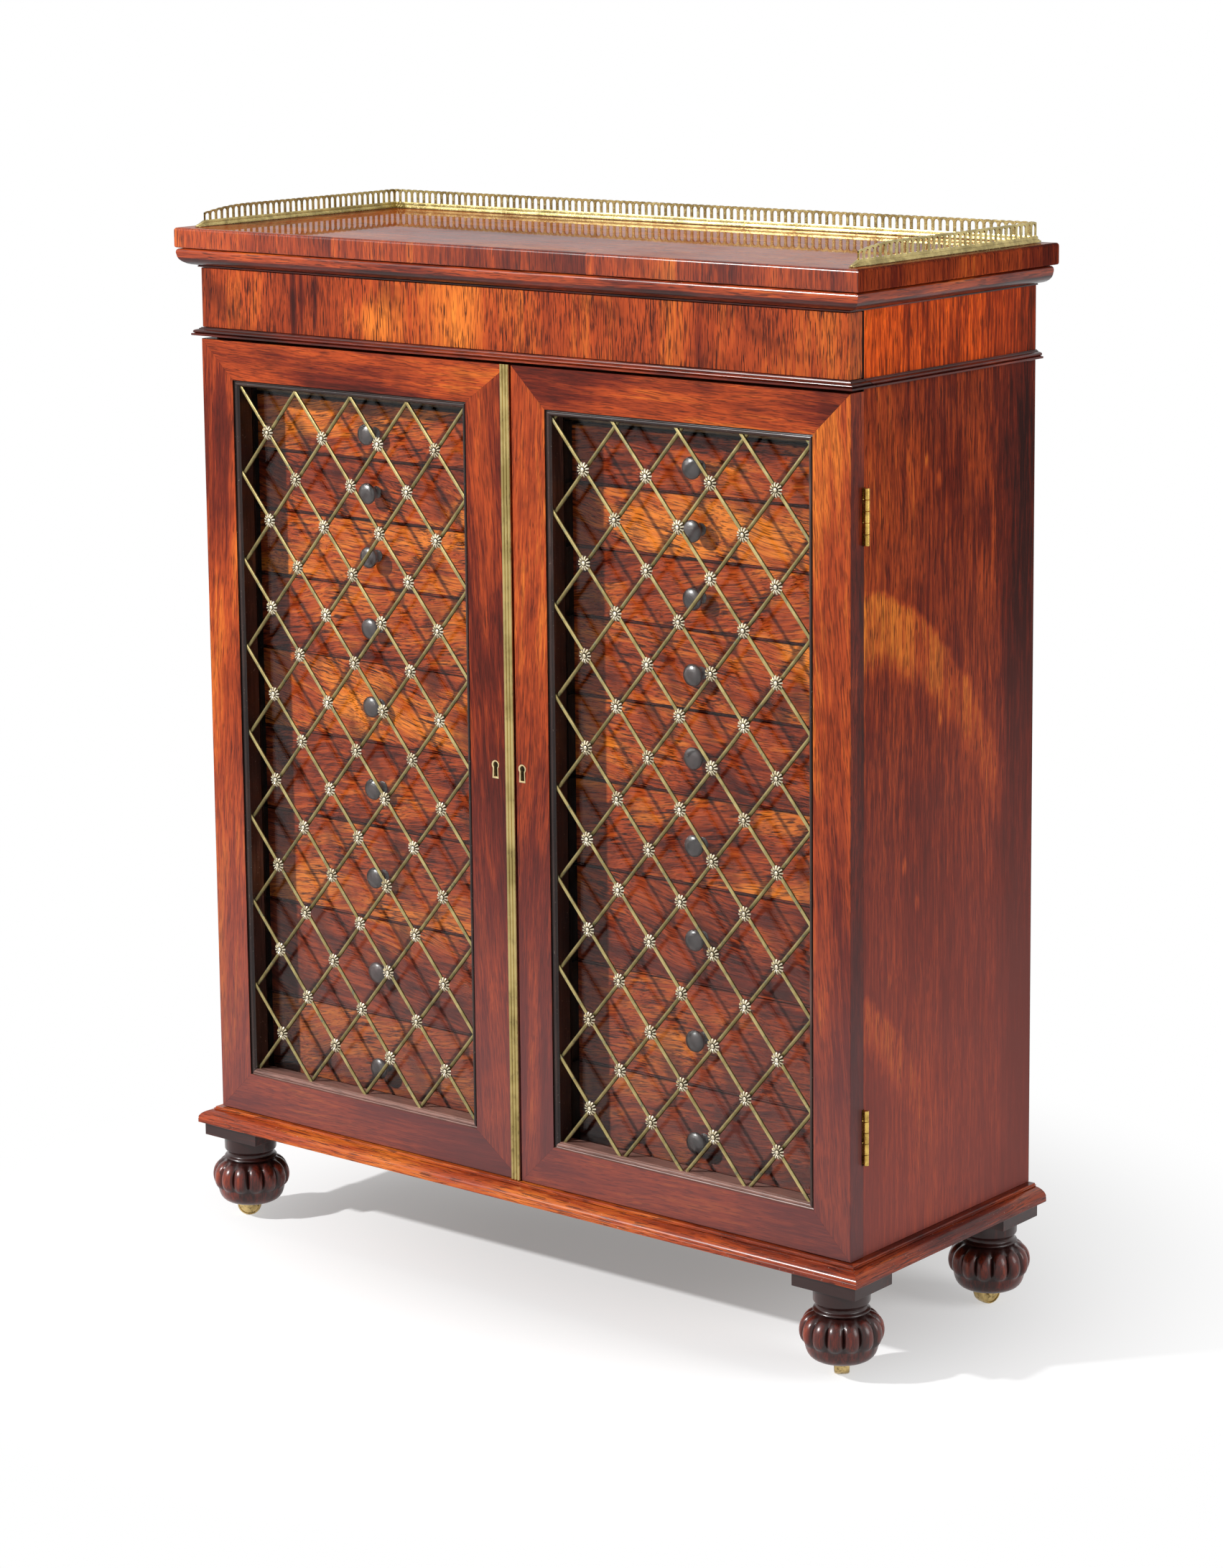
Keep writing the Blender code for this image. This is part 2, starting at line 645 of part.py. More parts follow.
def make_partition():
    """A wide pilaster between the banks, hollow and open at the back, with a groove for each drawer."""
    half = PARTITION_WIDTH / 2
    top = RAIL_BOTTOM_Z - SEAT_GAP
    outline = [(-half, BOTTOM_BOARD_TOP_Z + SEAT_GAP), (half, BOTTOM_BOARD_TOP_Z + SEAT_GAP)]
    outline += grooved_edge(half, -1, drawer_floors())
    outline += [(half, top), (-half, top)]
    outline += list(reversed(grooved_edge(-half, 1, drawer_floors())))
    partition = extrude_along_depth("centre_partition", outline, CASE_FRONT, CASE_INSIDE_BACK)
    hollow = half - PARTITION_WALL
    core = block("core", (-hollow, hollow), (CASE_FRONT + PARTITION_FACE, CASE_INSIDE_BACK + OVERSHOOT),
                 (BANK_BOTTOM_Z + PARTITION_WALL, top - PARTITION_WALL))
    return dress(cut(partition, [core]), "inside_wood")


def make_dust_board():
    """The board over the drawer banks, with the rail that hangs from it above the top drawers."""
    half = INNER_HALF_WIDTH - SEAT_GAP
    rail_back = DRAWER_SET_BACK + TOP_RAIL_THICK
    section = [(CASE_FRONT, DUST_BOARD_TOP_Z), (CASE_INSIDE_BACK, DUST_BOARD_TOP_Z),
               (CASE_INSIDE_BACK, DUST_BOARD_Z), (rail_back, DUST_BOARD_Z), (rail_back, RAIL_BOTTOM_Z),
               (DRAWER_SET_BACK, RAIL_BOTTOM_Z), (DRAWER_SET_BACK, DUST_BOARD_Z), (CASE_FRONT, DUST_BOARD_Z)]
    rings = [[(x, at_depth(depth), z) for depth, z in section] for x in (-half, half)]
    return dress(loft("dust_board", rings), "inside_wood")


def make_carcase_boards():
    half = INNER_HALF_WIDTH - SEAT_GAP
    z_range = (CASE_BOTTOM_Z, BOTTOM_BOARD_TOP_Z)
    bottom = block("bottom_board", (-half, half), (CASE_FRONT, CASE_INSIDE_BACK), z_range)
    back = block("back_panel", (-half, half), (BACK_FRONT, CASE_DEPTH), (CASE_BOTTOM_Z, CORNICE_TOP_Z))
    dress(bottom, "inside_wood")
    dress(back, "inside_wood")


def make_side_waist(sign):
    """The run of the waist moulding on one side, behind the part that moves with the frieze drawer."""
    inner = CASE_HALF_WIDTH + SEAT_GAP
    section = [(inner, WAIST_BOTTOM_Z)]
    section += [(CASE_HALF_WIDTH + spread, WAIST_BOTTOM_Z + z) for spread, z in WAIST_PROFILE]
    section.append((inner, WAIST_TOP_Z))
    outline = [(sign * x, z) for x, z in section]
    front = FRIEZE_SET_BACK + FRIEZE_THICK + RUNNING_GAP
    thing = extrude_along_depth("waist_moulding_" + SIDES[sign], outline, front, CASE_DEPTH)
    return dress(thing, "moulding")


# Feet and casters


def make_foot(name, centre):
    """A square plate, a waisted neck with a ring, and a bun carved with upright lobes."""
    rings = []
    for radius, z, depth in FOOT_PROFILE:
        sides = 2 * LOBES if depth else LOBES
        rings.append(ring_points(radius, BUN_BOTTOM_Z + z, sides, depth))
    foot = loft(name, rings)
    half_x, half_y = FOOT_PLATE_WIDTH / 2, FOOT_PLATE_DEPTH / 2
    plate = box("plate", (-half_x, -half_y, PLATE_BOTTOM_Z), (half_x, half_y, PLATE_TOP_Z))
    fuse(foot, [plate])
    socket_top = BUN_BOTTOM_Z + SOCKET_DEPTH
    socket = lathe("socket", ((SOCKET_RADIUS, BUN_BOTTOM_Z - OVERSHOOT), (SOCKET_RADIUS, socket_top)), LOBES)
    hole_radius = SWIVEL_PIN_RADIUS + PIN_CLEARANCE
    hole_profile = ((hole_radius, socket_top - OVERSHOOT), (hole_radius, socket_top + SWIVEL_HOLE_DEPTH))
    hole = lathe("hole", hole_profile, SWIVEL_HOLE_SIDES)
    cut(foot, [socket, hole])
    foot.location = (centre[0], centre[1], 0.0)
    return dress(foot, "moulding")


def make_caster(place, centre):
    """A swivelling fork with its axle, and a crowned wheel. Both are modelled with the swivel on Z."""
    socket_top = BUN_BOTTOM_Z + SOCKET_DEPTH
    plate_top = socket_top - SEAT_GAP
    plate_bottom = plate_top - SWIVEL_PLATE_THICK
    pin_top = socket_top + SWIVEL_HOLE_DEPTH - 2 * SEAT_GAP
    swivel = pivot(place + "_swivel", (centre[0], centre[1], socket_top))
    swivel.rotation_euler = (0.0, 0.0, math.radians(CASTER_TURNS[place]))

    plate_profile = ((SWIVEL_PLATE_RADIUS, plate_bottom), (SWIVEL_PLATE_RADIUS, plate_top))
    fork = lathe("fork_" + place, plate_profile, PLATE_SIDES)
    pin = lathe("pin", ((SWIVEL_PIN_RADIUS, plate_top - SINK), (SWIVEL_PIN_RADIUS, pin_top)), PIN_SIDES)
    parts = [pin]
    cheek_inner = WHEEL_WIDTH / 2 + SEAT_GAP
    for sign in (-1, 1):
        xs = sorted((sign * cheek_inner, sign * (cheek_inner + CHEEK_THICK)))
        low = (xs[0], WHEEL_TRAIL - CHEEK_WIDTH / 2, WHEEL_FLAT - CHEEK_DROP)
        high = (xs[1], WHEEL_TRAIL + CHEEK_WIDTH / 2, plate_bottom + SINK)
        parts.append(box("cheek", low, high))
    lay_down = Matrix.Rotation(math.pi / 2, 4, "Y")
    half_axle = cheek_inner + CHEEK_THICK / 2
    axle = lathe("axle", ((AXLE_RADIUS, -half_axle), (AXLE_RADIUS, half_axle)), PIN_SIDES)
    parts.append(turn_and_place(axle, lay_down, (0.0, WHEEL_TRAIL, WHEEL_FLAT)))
    fuse(fork, parts)
    fork.data.transform(Matrix.Translation((0.0, 0.0, -socket_top)))
    fork.parent = swivel
    dress(fork, "brass")

    half = WHEEL_WIDTH / 2
    edge = WHEEL_RADIUS - WHEEL_CROWN
    flat = half * WHEEL_FLAT_SHARE
    profile = ((edge, -half), (WHEEL_RADIUS, -flat), (WHEEL_RADIUS, flat), (edge, half))
    wheel = lathe("wheel_" + place, profile, WHEEL_SIDES)
    bore_radius = AXLE_RADIUS + PIN_CLEARANCE
    reach = half + OVERSHOOT
    bore = lathe("bore", ((bore_radius, -reach), (bore_radius, reach)), PIN_SIDES)
    cut(wheel, [bore])
    facet_down = Matrix.Rotation(math.pi / WHEEL_SIDES, 4, "X")
    wheel.data.transform(facet_down @ lay_down)
    wheel.parent = swivel
    wheel.location = (0.0, WHEEL_TRAIL, WHEEL_FLAT - socket_top)
    dress(wheel, "brass")


def make_feet():
    for row, depth in (("front", FOOT_FRONT_DEPTH), ("back", FOOT_BACK_DEPTH)):
        for sign, side in SIDES.items():
            place = row + "_" + side
            centre = (sign * FOOT_CENTRE_X, at_depth(depth))
            make_foot("foot_" + place, centre)
            make_caster(place, centre)


# Doors


def mitred_frame(name, x_range, z_range, widths, profile):
    """Four mitred members. Profile points are (share of the member's width, extra width, depth)."""
    low_x, high_x = x_range
    low_z, high_z = z_range
    left, right, bottom, top = widths
    rings = []
    for x, x_sign, x_width, z, z_sign, z_width in (
            (low_x, 1, left, low_z, 1, bottom), (high_x, -1, right, low_z, 1, bottom),
            (high_x, -1, right, high_z, -1, top), (low_x, 1, left, high_z, -1, top)):
        ring = []
        for share, extra, depth in profile:
            point_x = x + x_sign * (share * x_width + extra)
            point_z = z + z_sign * (share * z_width + extra)
            ring.append((point_x, at_depth(depth), point_z))
        rings.append(ring)
    return loft(name, rings, closed_path=True)


def door_span(sign):
    """X range of a door, low to high."""
    return tuple(sorted((sign * DOOR_OUTER_X, DOOR_INNER_X[sign])))


def door_widths(sign):
    """Widths of a door's left stile, right stile, bottom rail and top rail."""
    stiles = (MEETING_STILE[sign], HINGE_STILE) if sign > 0 else (HINGE_STILE, MEETING_STILE[sign])
    return (*stiles, BOTTOM_RAIL, TOP_RAIL)


def door_opening(sign, inset):
    """X and Z range of a door's opening, drawn in by an inset on every side."""
    low, high = door_span(sign)
    left, right, bottom, top = door_widths(sign)
    x_range = (low + left + inset, high - right - inset)
    return x_range, (DOOR_BOTTOM_Z + bottom + inset, DOOR_TOP_Z - top - inset)


def keyhole(sign):
    """A keyhole-shaped pocket: a round head over a flared foot."""
    inset = {-1: -KEYHOLE_INSET_LEFT, 1: KEYHOLE_INSET_RIGHT}[sign]
    x = DOOR_INNER_X[sign] + inset
    radius = KEYHOLE_WIDTH / 2
    head_z = DOOR_BOTTOM_Z + KEYHOLE_ABOVE_DOOR_FOOT + KEYHOLE_HEIGHT / 2 - radius
    outline = []
    for i in range(KEYHOLE_HEAD_POINTS):
        angle = math.radians(KEYHOLE_HEAD_START + KEYHOLE_HEAD_SWEEP * i / (KEYHOLE_HEAD_POINTS - 1))
        outline.append((x + radius * math.cos(angle), head_z + radius * math.sin(angle)))
    foot_z = head_z + radius - KEYHOLE_HEIGHT
    outline += [(x - KEYHOLE_FOOT_WIDTH / 2, foot_z), (x + KEYHOLE_FOOT_WIDTH / 2, foot_z)]
    return extrude_along_depth("keyhole", outline, -OVERSHOOT, KEYHOLE_DEPTH)


def make_door(sign):
    """A mitred frame with its beaded slip, mortised for two hinges and pierced for a key."""
    profile = [(0, 0, 0)] + [(1, extra, depth) for extra, depth in SLIP_PROFILE] + [(0, 0, DOOR_THICK)]
    z_range = (DOOR_BOTTOM_Z, DOOR_TOP_Z)
    frame = mitred_frame("door_frame_" + SIDES[sign], door_span(sign), z_range, door_widths(sign), profile)
    depths = (DOOR_THICK - HINGE_LEAF_THICK - SEAT_GAP, DOOR_THICK + OVERSHOOT)
    tools = [leaf_recess(sign, low, depths) for low in hinge_heights().values()]
    return dress(cut(frame, tools + [keyhole(sign)]), "veneer")


def make_pane(sign):
    xs, zs = door_opening(sign, 0.0)
    return dress(block("glass_pane_" + SIDES[sign], xs, (PANE_FRONT, PANE_BACK), zs), "glass")


def make_glazing_bead(sign):
    """The mitred bead that holds a pane against the back of its door."""
    land = BEAD_LAND + SEAT_GAP
    xs, zs = door_opening(sign, -land)
    back = PANE_BACK + BEAD_THICK
    lip = land + BEAD_LIP
    profile = [(0, 0, PANE_FRONT), (0, BEAD_LAND, PANE_FRONT), (0, BEAD_LAND, PANE_BACK + SEAT_GAP),
               (0, lip, PANE_BACK + SEAT_GAP), (0, lip, back - BEAD_THICK / 3), (0, lip - BEAD_THICK / 3, back),
               (0, 0, back)]
    thing = mitred_frame("glazing_bead_" + SIDES[sign], xs, zs, (0, 0, 0, 0), profile)
    return dress(thing, "inside_wood")


def crossing(builder, x, z, rise):
    """A low boss where two rods cross. Returns its four sides that face a rod, by the rod's direction."""
    back, front = ROD_FRONT + ROD_THICK, ROD_FRONT
    ys = (at_depth(front), at_depth(back))
    half = ROD_WIDTH / 2
    reach = math.sqrt(ROSETTE_RADIUS ** 2 - half ** 2)
    ring, faces = [], {}
    for way_x, way_z in ((1, 1), (-1, 1), (-1, -1), (1, -1)):
        run = Vector((way_x * math.cos(rise), way_z * math.sin(rise)))
        across = Vector((-run.y, run.x)) * half
        ends = []
        for point in (run * reach - across, run * reach + across):
            ends.append([builder.verts.new((x + point.x, y, z + point.y)) for y in ys])
        faces[(way_x, way_z)] = ends
        ring += ends
    peak = builder.verts.new((x, at_depth(front - ROSETTE_STAND), z))
    for i, (front_vert, back_vert) in enumerate(ring):
        next_front, next_back = ring[(i + 1) % len(ring)]
        builder.faces.new((front_vert, next_front, peak))
        if i % 2:
            builder.faces.new((front_vert, next_front, next_back, back_vert))
    builder.faces.new([pair[1] for pair in ring])
    return faces


def join_rod(builder, start, end):
    """A rod between two crossings. The end's pairs run the other way round."""
    low, high = start
    far_high, far_low = end
    near = (low[0], high[0], high[1], low[1])
    far = (far_low[0], far_high[0], far_high[1], far_low[1])
    bridge(builder, near, far)


def free_end(builder, start, way, rise, length):
    """A rod that runs from a crossing out past the edge of the opening."""
    run = Vector((way[0] * math.cos(rise), 0.0, way[1] * math.sin(rise))) * length
    low, high = start
    near = (low[0], high[0], high[1], low[1])
    far = [builder.verts.new(vert.co + run) for vert in near]
    bridge(builder, near, far)
    builder.faces.new(far)


def make_lattice(sign):
    """Crossed rods that fill the opening with diamonds, with a boss on every crossing."""
    xs, zs = door_opening(sign, SLIP_WIDTH)
    drop = LATTICE_DROP_RIGHT if sign > 0 else 0.0
    step_x = (xs[1] - xs[0]) / (2 * LATTICE_COLUMNS)
    step_z = (zs[1] - zs[0]) / (2 * LATTICE_ROWS)
    rise = math.atan2(step_z, step_x)
    builder = bmesh.new()
    nodes = {}
    for row in range(1, 2 * LATTICE_ROWS):
        for column in range(1 + (row + 1) % 2, 2 * LATTICE_COLUMNS, 2):
            nodes[column, row] = crossing(builder, xs[0] + column * step_x, zs[0] - drop + row * step_z, rise)
    for (column, row), faces in nodes.items():
        for way, start in faces.items():
            other = nodes.get((column + way[0], row + way[1]))
            if other is None:
                free_end(builder, start, way, rise, math.hypot(step_x, step_z))
            elif way[1] > 0:
                join_rod(builder, start, other[(-way[0], -way[1])])
    lattice = make_object("lattice_" + SIDES[sign], builder)
    inside_x, inside_z = door_opening(sign, SLIP_WIDTH + SEAT_GAP)
    clip = block("clip", inside_x, (0.0, DOOR_THICK), inside_z)
    modifier = lattice.modifiers.new("clip", "BOOLEAN")
    modifier.operation = "INTERSECT"
    modifier.solver = "EXACT"
    modifier.use_self = True
    modifier.object = clip
    bake(lattice)
    bpy.data.objects.remove(clip)
    return dress(lattice, "brass")


def make_meeting_strip():
    """A flat brass strip with rounded reeds down the meeting edge of the left door."""
    right = MEETING_EDGE
    left = right - STRIP_WIDTH
    reed = STRIP_WIDTH / STRIP_REEDS
    back = -SEAT_GAP
    outline = [(right, back), (left, back)]
    for i in range(STRIP_REEDS):
        outline += [(left + (i + share) * reed, back - proud) for share, proud in REED_PROFILE]
    rings = [[(x, at_depth(depth), z) for x, depth in outline] for z in (DOOR_BOTTOM_Z, DOOR_TOP_Z)]
    return dress(loft("meeting_strip", rings), "brass")


def knuckle_heights(low, first):
    """Z ranges of every second knuckle of a hinge, from the first one given."""
    pitch = HINGE_HEIGHT / KNUCKLES
    play = SEAT_GAP / 2
    return [(low + i * pitch + play, low + (i + 1) * pitch - play) for i in range(first, KNUCKLES, 2)]


def leaf_plate(name, sign, low, depth_range, knuckles):
    """The flat of one leaf, with a tab that reaches into each of its knuckles."""
    inner, outer = leaf_range(sign)
    outline = [(inner, low), (outer, low)]
    for z_low, z_high in knuckles:
        outline += [(outer, z_low), (sign * PIVOT_X, z_low), (sign * PIVOT_X, z_high), (outer, z_high)]
    outline += [(outer, low + HINGE_HEIGHT), (inner, low + HINGE_HEIGHT)]
    return extrude_along_depth(name, outline, *depth_range)


def case_leaf(name, sign, low):
    """The leaf on the carcase: its knuckles and the pin are one turned piece."""
    knuckles = knuckle_heights(low, 0)
    leaf = leaf_plate(name, sign, low, (CASE_FRONT, CASE_FRONT + HINGE_LEAF_THICK), knuckles)
    profile = []
    for z_low, z_high in knuckles:
        profile += [(PIN_RADIUS, z_low), (KNUCKLE_RADIUS, z_low)]
        profile += [(KNUCKLE_RADIUS, z_high), (PIN_RADIUS, z_high)]
    barrel = lathe("barrel", profile[1:-1], KNUCKLE_SIDES)
    turn_and_place(barrel, Matrix(), (sign * PIVOT_X, at_depth(PIVOT_DEPTH), 0.0))
    return dress(fuse(leaf, [barrel]), "brass")


def door_leaf(name, sign, low):
    """The leaf on the door, whose knuckles are bored to turn on the pin."""
    knuckles = knuckle_heights(low, 1)
    leaf = leaf_plate(name, sign, low, (DOOR_THICK - HINGE_LEAF_THICK, DOOR_THICK), knuckles)
    centre = (sign * PIVOT_X, at_depth(PIVOT_DEPTH), 0.0)
    bore_radius = PIN_RADIUS + PIN_CLEARANCE
    bores = []
    for z_low, z_high in knuckles:
        barrel = lathe("barrel", ((KNUCKLE_RADIUS, z_low), (KNUCKLE_RADIUS, z_high)), KNUCKLE_SIDES)
        fuse(leaf, [turn_and_place(barrel, Matrix(), centre)])
        bore = lathe("bore", ((bore_radius, z_low - SINK), (bore_radius, z_high + SINK)), PIN_SIDES)
        bores.append(turn_and_place(bore, Matrix(), centre))
    return dress(cut(leaf, bores), "brass")


def make_doors():
    for sign, side in SIDES.items():
        place = (sign * PIVOT_X, at_depth(PIVOT_DEPTH), (DOOR_BOTTOM_Z + DOOR_TOP_Z) / 2)
        swing = pivot("door_pivot_" + side, place)
        pieces = [make_door(sign), make_pane(sign), make_glazing_bead(sign), make_lattice(sign)]
        if sign < 0:
            pieces.append(make_meeting_strip())
        for level, low in hinge_heights().items():
            name = level + "_" + side
            pieces.append(door_leaf("door_leaf_" + name, sign, low))
            case_leaf("case_leaf_" + name, sign, low)
        for piece in pieces:
            seat(piece, place, swing)


# Drawers


def tray(name, x_range, depth_range, z_range, front_thick, wall, tongue):
    """An open-topped drawer box whose floor can run on past its sides as two tongues."""
    left, right = x_range
    front, back = depth_range
    low, high = z_range
    outline = [(left, low), (right, low), (right, high), (left, high)]
    if tongue:
        shelf = low + TONGUE_THICK
        outline = [(left - tongue, low), (right + tongue, low), (right + tongue, shelf), (right, shelf),
                   (right, high), (left, high), (left, shelf), (left - tongue, shelf)]
    body = extrude_along_depth(name, outline, front, back)
    floor = low + (TONGUE_THICK if tongue else FRIEZE_FLOOR)
    room = (front + front_thick, back - wall)
    hollow = block("hollow", (left + wall, right - wall), room, (floor, high + OVERSHOOT))
    return cut(body, [hollow])


def knob(x, z):
    """A turned knob: a collar, a narrow neck and a domed disc, facing -Y."""
    thing = lathe("knob", KNOB_PROFILE, KNOB_SIDES)
    face_front = Matrix.Rotation(math.pi / 2, 4, "X")
    return turn_and_place(thing, face_front, (x, at_depth(DRAWER_SET_BACK), z))


def make_bank(sign):
    """Nine drawers, deeper towards the floor."""
    side_gap = RUNNING_GAP
    inner = PARTITION_WIDTH / 2 + side_gap
    outer = INNER_HALF_WIDTH - side_gap
    xs = tuple(sorted((sign * inner, sign * outer)))
    offset = KNOB_OFFSET_RIGHT if sign > 0 else KNOB_OFFSET_LEFT
    knob_x = sign * BANK_CENTRE_X + offset
    depths = (DRAWER_SET_BACK, DRAWER_SET_BACK + DRAWER_LENGTH)
    for number, (floor, height) in enumerate(zip(drawer_floors(), DRAWER_HEIGHTS), start=1):
        zs = (floor + DRAWER_JOINT_GAP / 2, floor + height - DRAWER_JOINT_GAP / 2)
        name = "drawer_{}_{}".format(SIDES[sign], number)
        drawer = tray(name, xs, depths, zs, DRAWER_FRONT_THICK, DRAWER_WALL, TONGUE_REACH)
        middle = floor + height / 2
        fuse(drawer, [knob(knob_x, middle)])
        seat(drawer, (sign * BANK_CENTRE_X, at_depth(DRAWER_SET_BACK), middle))
        dress(drawer, "drawer_wood")


def make_frieze_drawer():
    """The concealed drawer: its front is the frieze and carries the front of the waist moulding."""
    front, back = FRIEZE_SET_BACK, FRIEZE_SET_BACK + FRIEZE_THICK
    half = CASE_HALF_WIDTH
    levels = [(WAIST_BOTTOM_Z + z, half + spread, front - spread, back) for spread, z in WAIST_PROFILE]
    levels += [(WAIST_TOP_Z + SEAT_GAP, half, front, back), (FRIEZE_TOP_Z, half, front, back)]
    panel = stack("frieze_drawer", levels)
    inner = INNER_HALF_WIDTH - RUNNING_GAP
    low = DUST_BOARD_TOP_Z + SEAT_GAP
    high = FRIEZE_TOP_Z - FRIEZE_BOX_DROP
    box_depths = (back - SINK, front + FRIEZE_LENGTH)
    room = tray("box", (-inner, inner), box_depths, (low, high), FRIEZE_WALL, FRIEZE_WALL, 0.0)
    fuse(panel, [room])
    seat(panel, (0.0, at_depth(front), (WAIST_BOTTOM_Z + FRIEZE_TOP_Z) / 2))
    return dress(panel, "veneer")


def build():
    for thing in list(bpy.data.objects):
        bpy.data.objects.remove(thing)
    make_top_board()
    make_gallery()
    make_cornice()
    make_base_moulding()
    make_carcase_boards()
    make_partition()
    make_dust_board()
    for sign in SIDES:
        make_side(sign)
        make_side_waist(sign)
    make_feet()
    make_doors()
    make_frieze_drawer()
    for sign in SIDES:
        make_bank(sign)


build()
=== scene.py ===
# %% [markdown]
# # A collectors cabinet
#
# A small cabinet in polished rosewood: a brass gallery on top, a frieze that hides a drawer, and two
# glazed doors behind a brass lattice. Eighteen shallow drawers sit behind the glass.
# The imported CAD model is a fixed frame. Everything here is dressed over it, in metres, with +Z up and
# the doors facing -Y. A depth is measured backwards from the face of the doors.

# %% Load the frame
import bmesh
import bpy
import json
import math
from mathutils import Matrix, Vector

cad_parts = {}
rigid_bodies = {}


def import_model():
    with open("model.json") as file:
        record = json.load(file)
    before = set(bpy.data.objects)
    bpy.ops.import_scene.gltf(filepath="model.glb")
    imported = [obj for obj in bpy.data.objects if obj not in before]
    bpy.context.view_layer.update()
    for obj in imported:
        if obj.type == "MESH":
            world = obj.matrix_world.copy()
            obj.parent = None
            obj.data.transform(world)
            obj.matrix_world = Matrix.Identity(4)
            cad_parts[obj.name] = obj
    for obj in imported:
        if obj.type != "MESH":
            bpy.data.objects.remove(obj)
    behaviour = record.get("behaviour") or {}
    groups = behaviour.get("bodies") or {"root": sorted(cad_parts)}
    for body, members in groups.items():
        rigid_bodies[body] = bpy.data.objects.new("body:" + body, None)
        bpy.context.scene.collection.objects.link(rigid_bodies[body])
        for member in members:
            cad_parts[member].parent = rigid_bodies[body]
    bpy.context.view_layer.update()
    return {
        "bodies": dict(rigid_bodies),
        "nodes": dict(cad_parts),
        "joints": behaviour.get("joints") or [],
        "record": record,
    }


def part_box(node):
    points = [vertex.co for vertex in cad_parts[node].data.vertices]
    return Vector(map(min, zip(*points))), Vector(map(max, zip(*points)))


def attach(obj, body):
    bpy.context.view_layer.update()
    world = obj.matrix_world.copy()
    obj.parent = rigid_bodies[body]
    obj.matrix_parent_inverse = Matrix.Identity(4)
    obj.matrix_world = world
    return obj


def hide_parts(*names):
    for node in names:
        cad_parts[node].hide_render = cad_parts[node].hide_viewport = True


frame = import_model()
FACE_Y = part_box("door_frame_left")[0].y

# %% [markdown]
# ## Camera
#
# The photograph was taken from the right, a little above the top, with a long lens. The camera's place
# was worked out from the corners of the top, the doors and the base. Its shift is small, and it lifts
# the lens axis above the middle of the picture, which keeps the uprights nearly parallel.

# %% Camera
CAMERA_PLACE = (2.04146, -2.49889, 1.12989)
CAMERA_RIGHT = (0.7769702, 0.6294584, -0.0099674)
CAMERA_UP = (-0.1012088, 0.1405224, 0.9848910)
LENS_MM = 91.998
SENSOR_MM = 36.0
SHIFT_UP = -0.12


def make_camera():
    data = bpy.data.cameras.new("camera")
    data.sensor_width = SENSOR_MM
    data.lens = LENS_MM
    data.shift_y = SHIFT_UP
    camera = bpy.data.objects.new("camera", data)
    right, up = Vector(CAMERA_RIGHT), Vector(CAMERA_UP)
    turn = Matrix((right, up, right.cross(up))).transposed()
    camera.matrix_world = Matrix.Translation(CAMERA_PLACE) @ turn.to_4x4()
    bpy.context.scene.collection.objects.link(camera)
    bpy.context.scene.camera = camera


make_camera()
bpy.context.scene.view_settings.view_transform = "Standard"
print("camera", round((Vector(CAMERA_PLACE)).length, 2), "m from the foot of the cabinet")

# %% [markdown]
# ## Node helpers
#
# A material is a graph of small nodes. These helpers place a node, set what is a plain value and link
# what is another node's output, so that a recipe reads from top to bottom.

# %% Node helpers


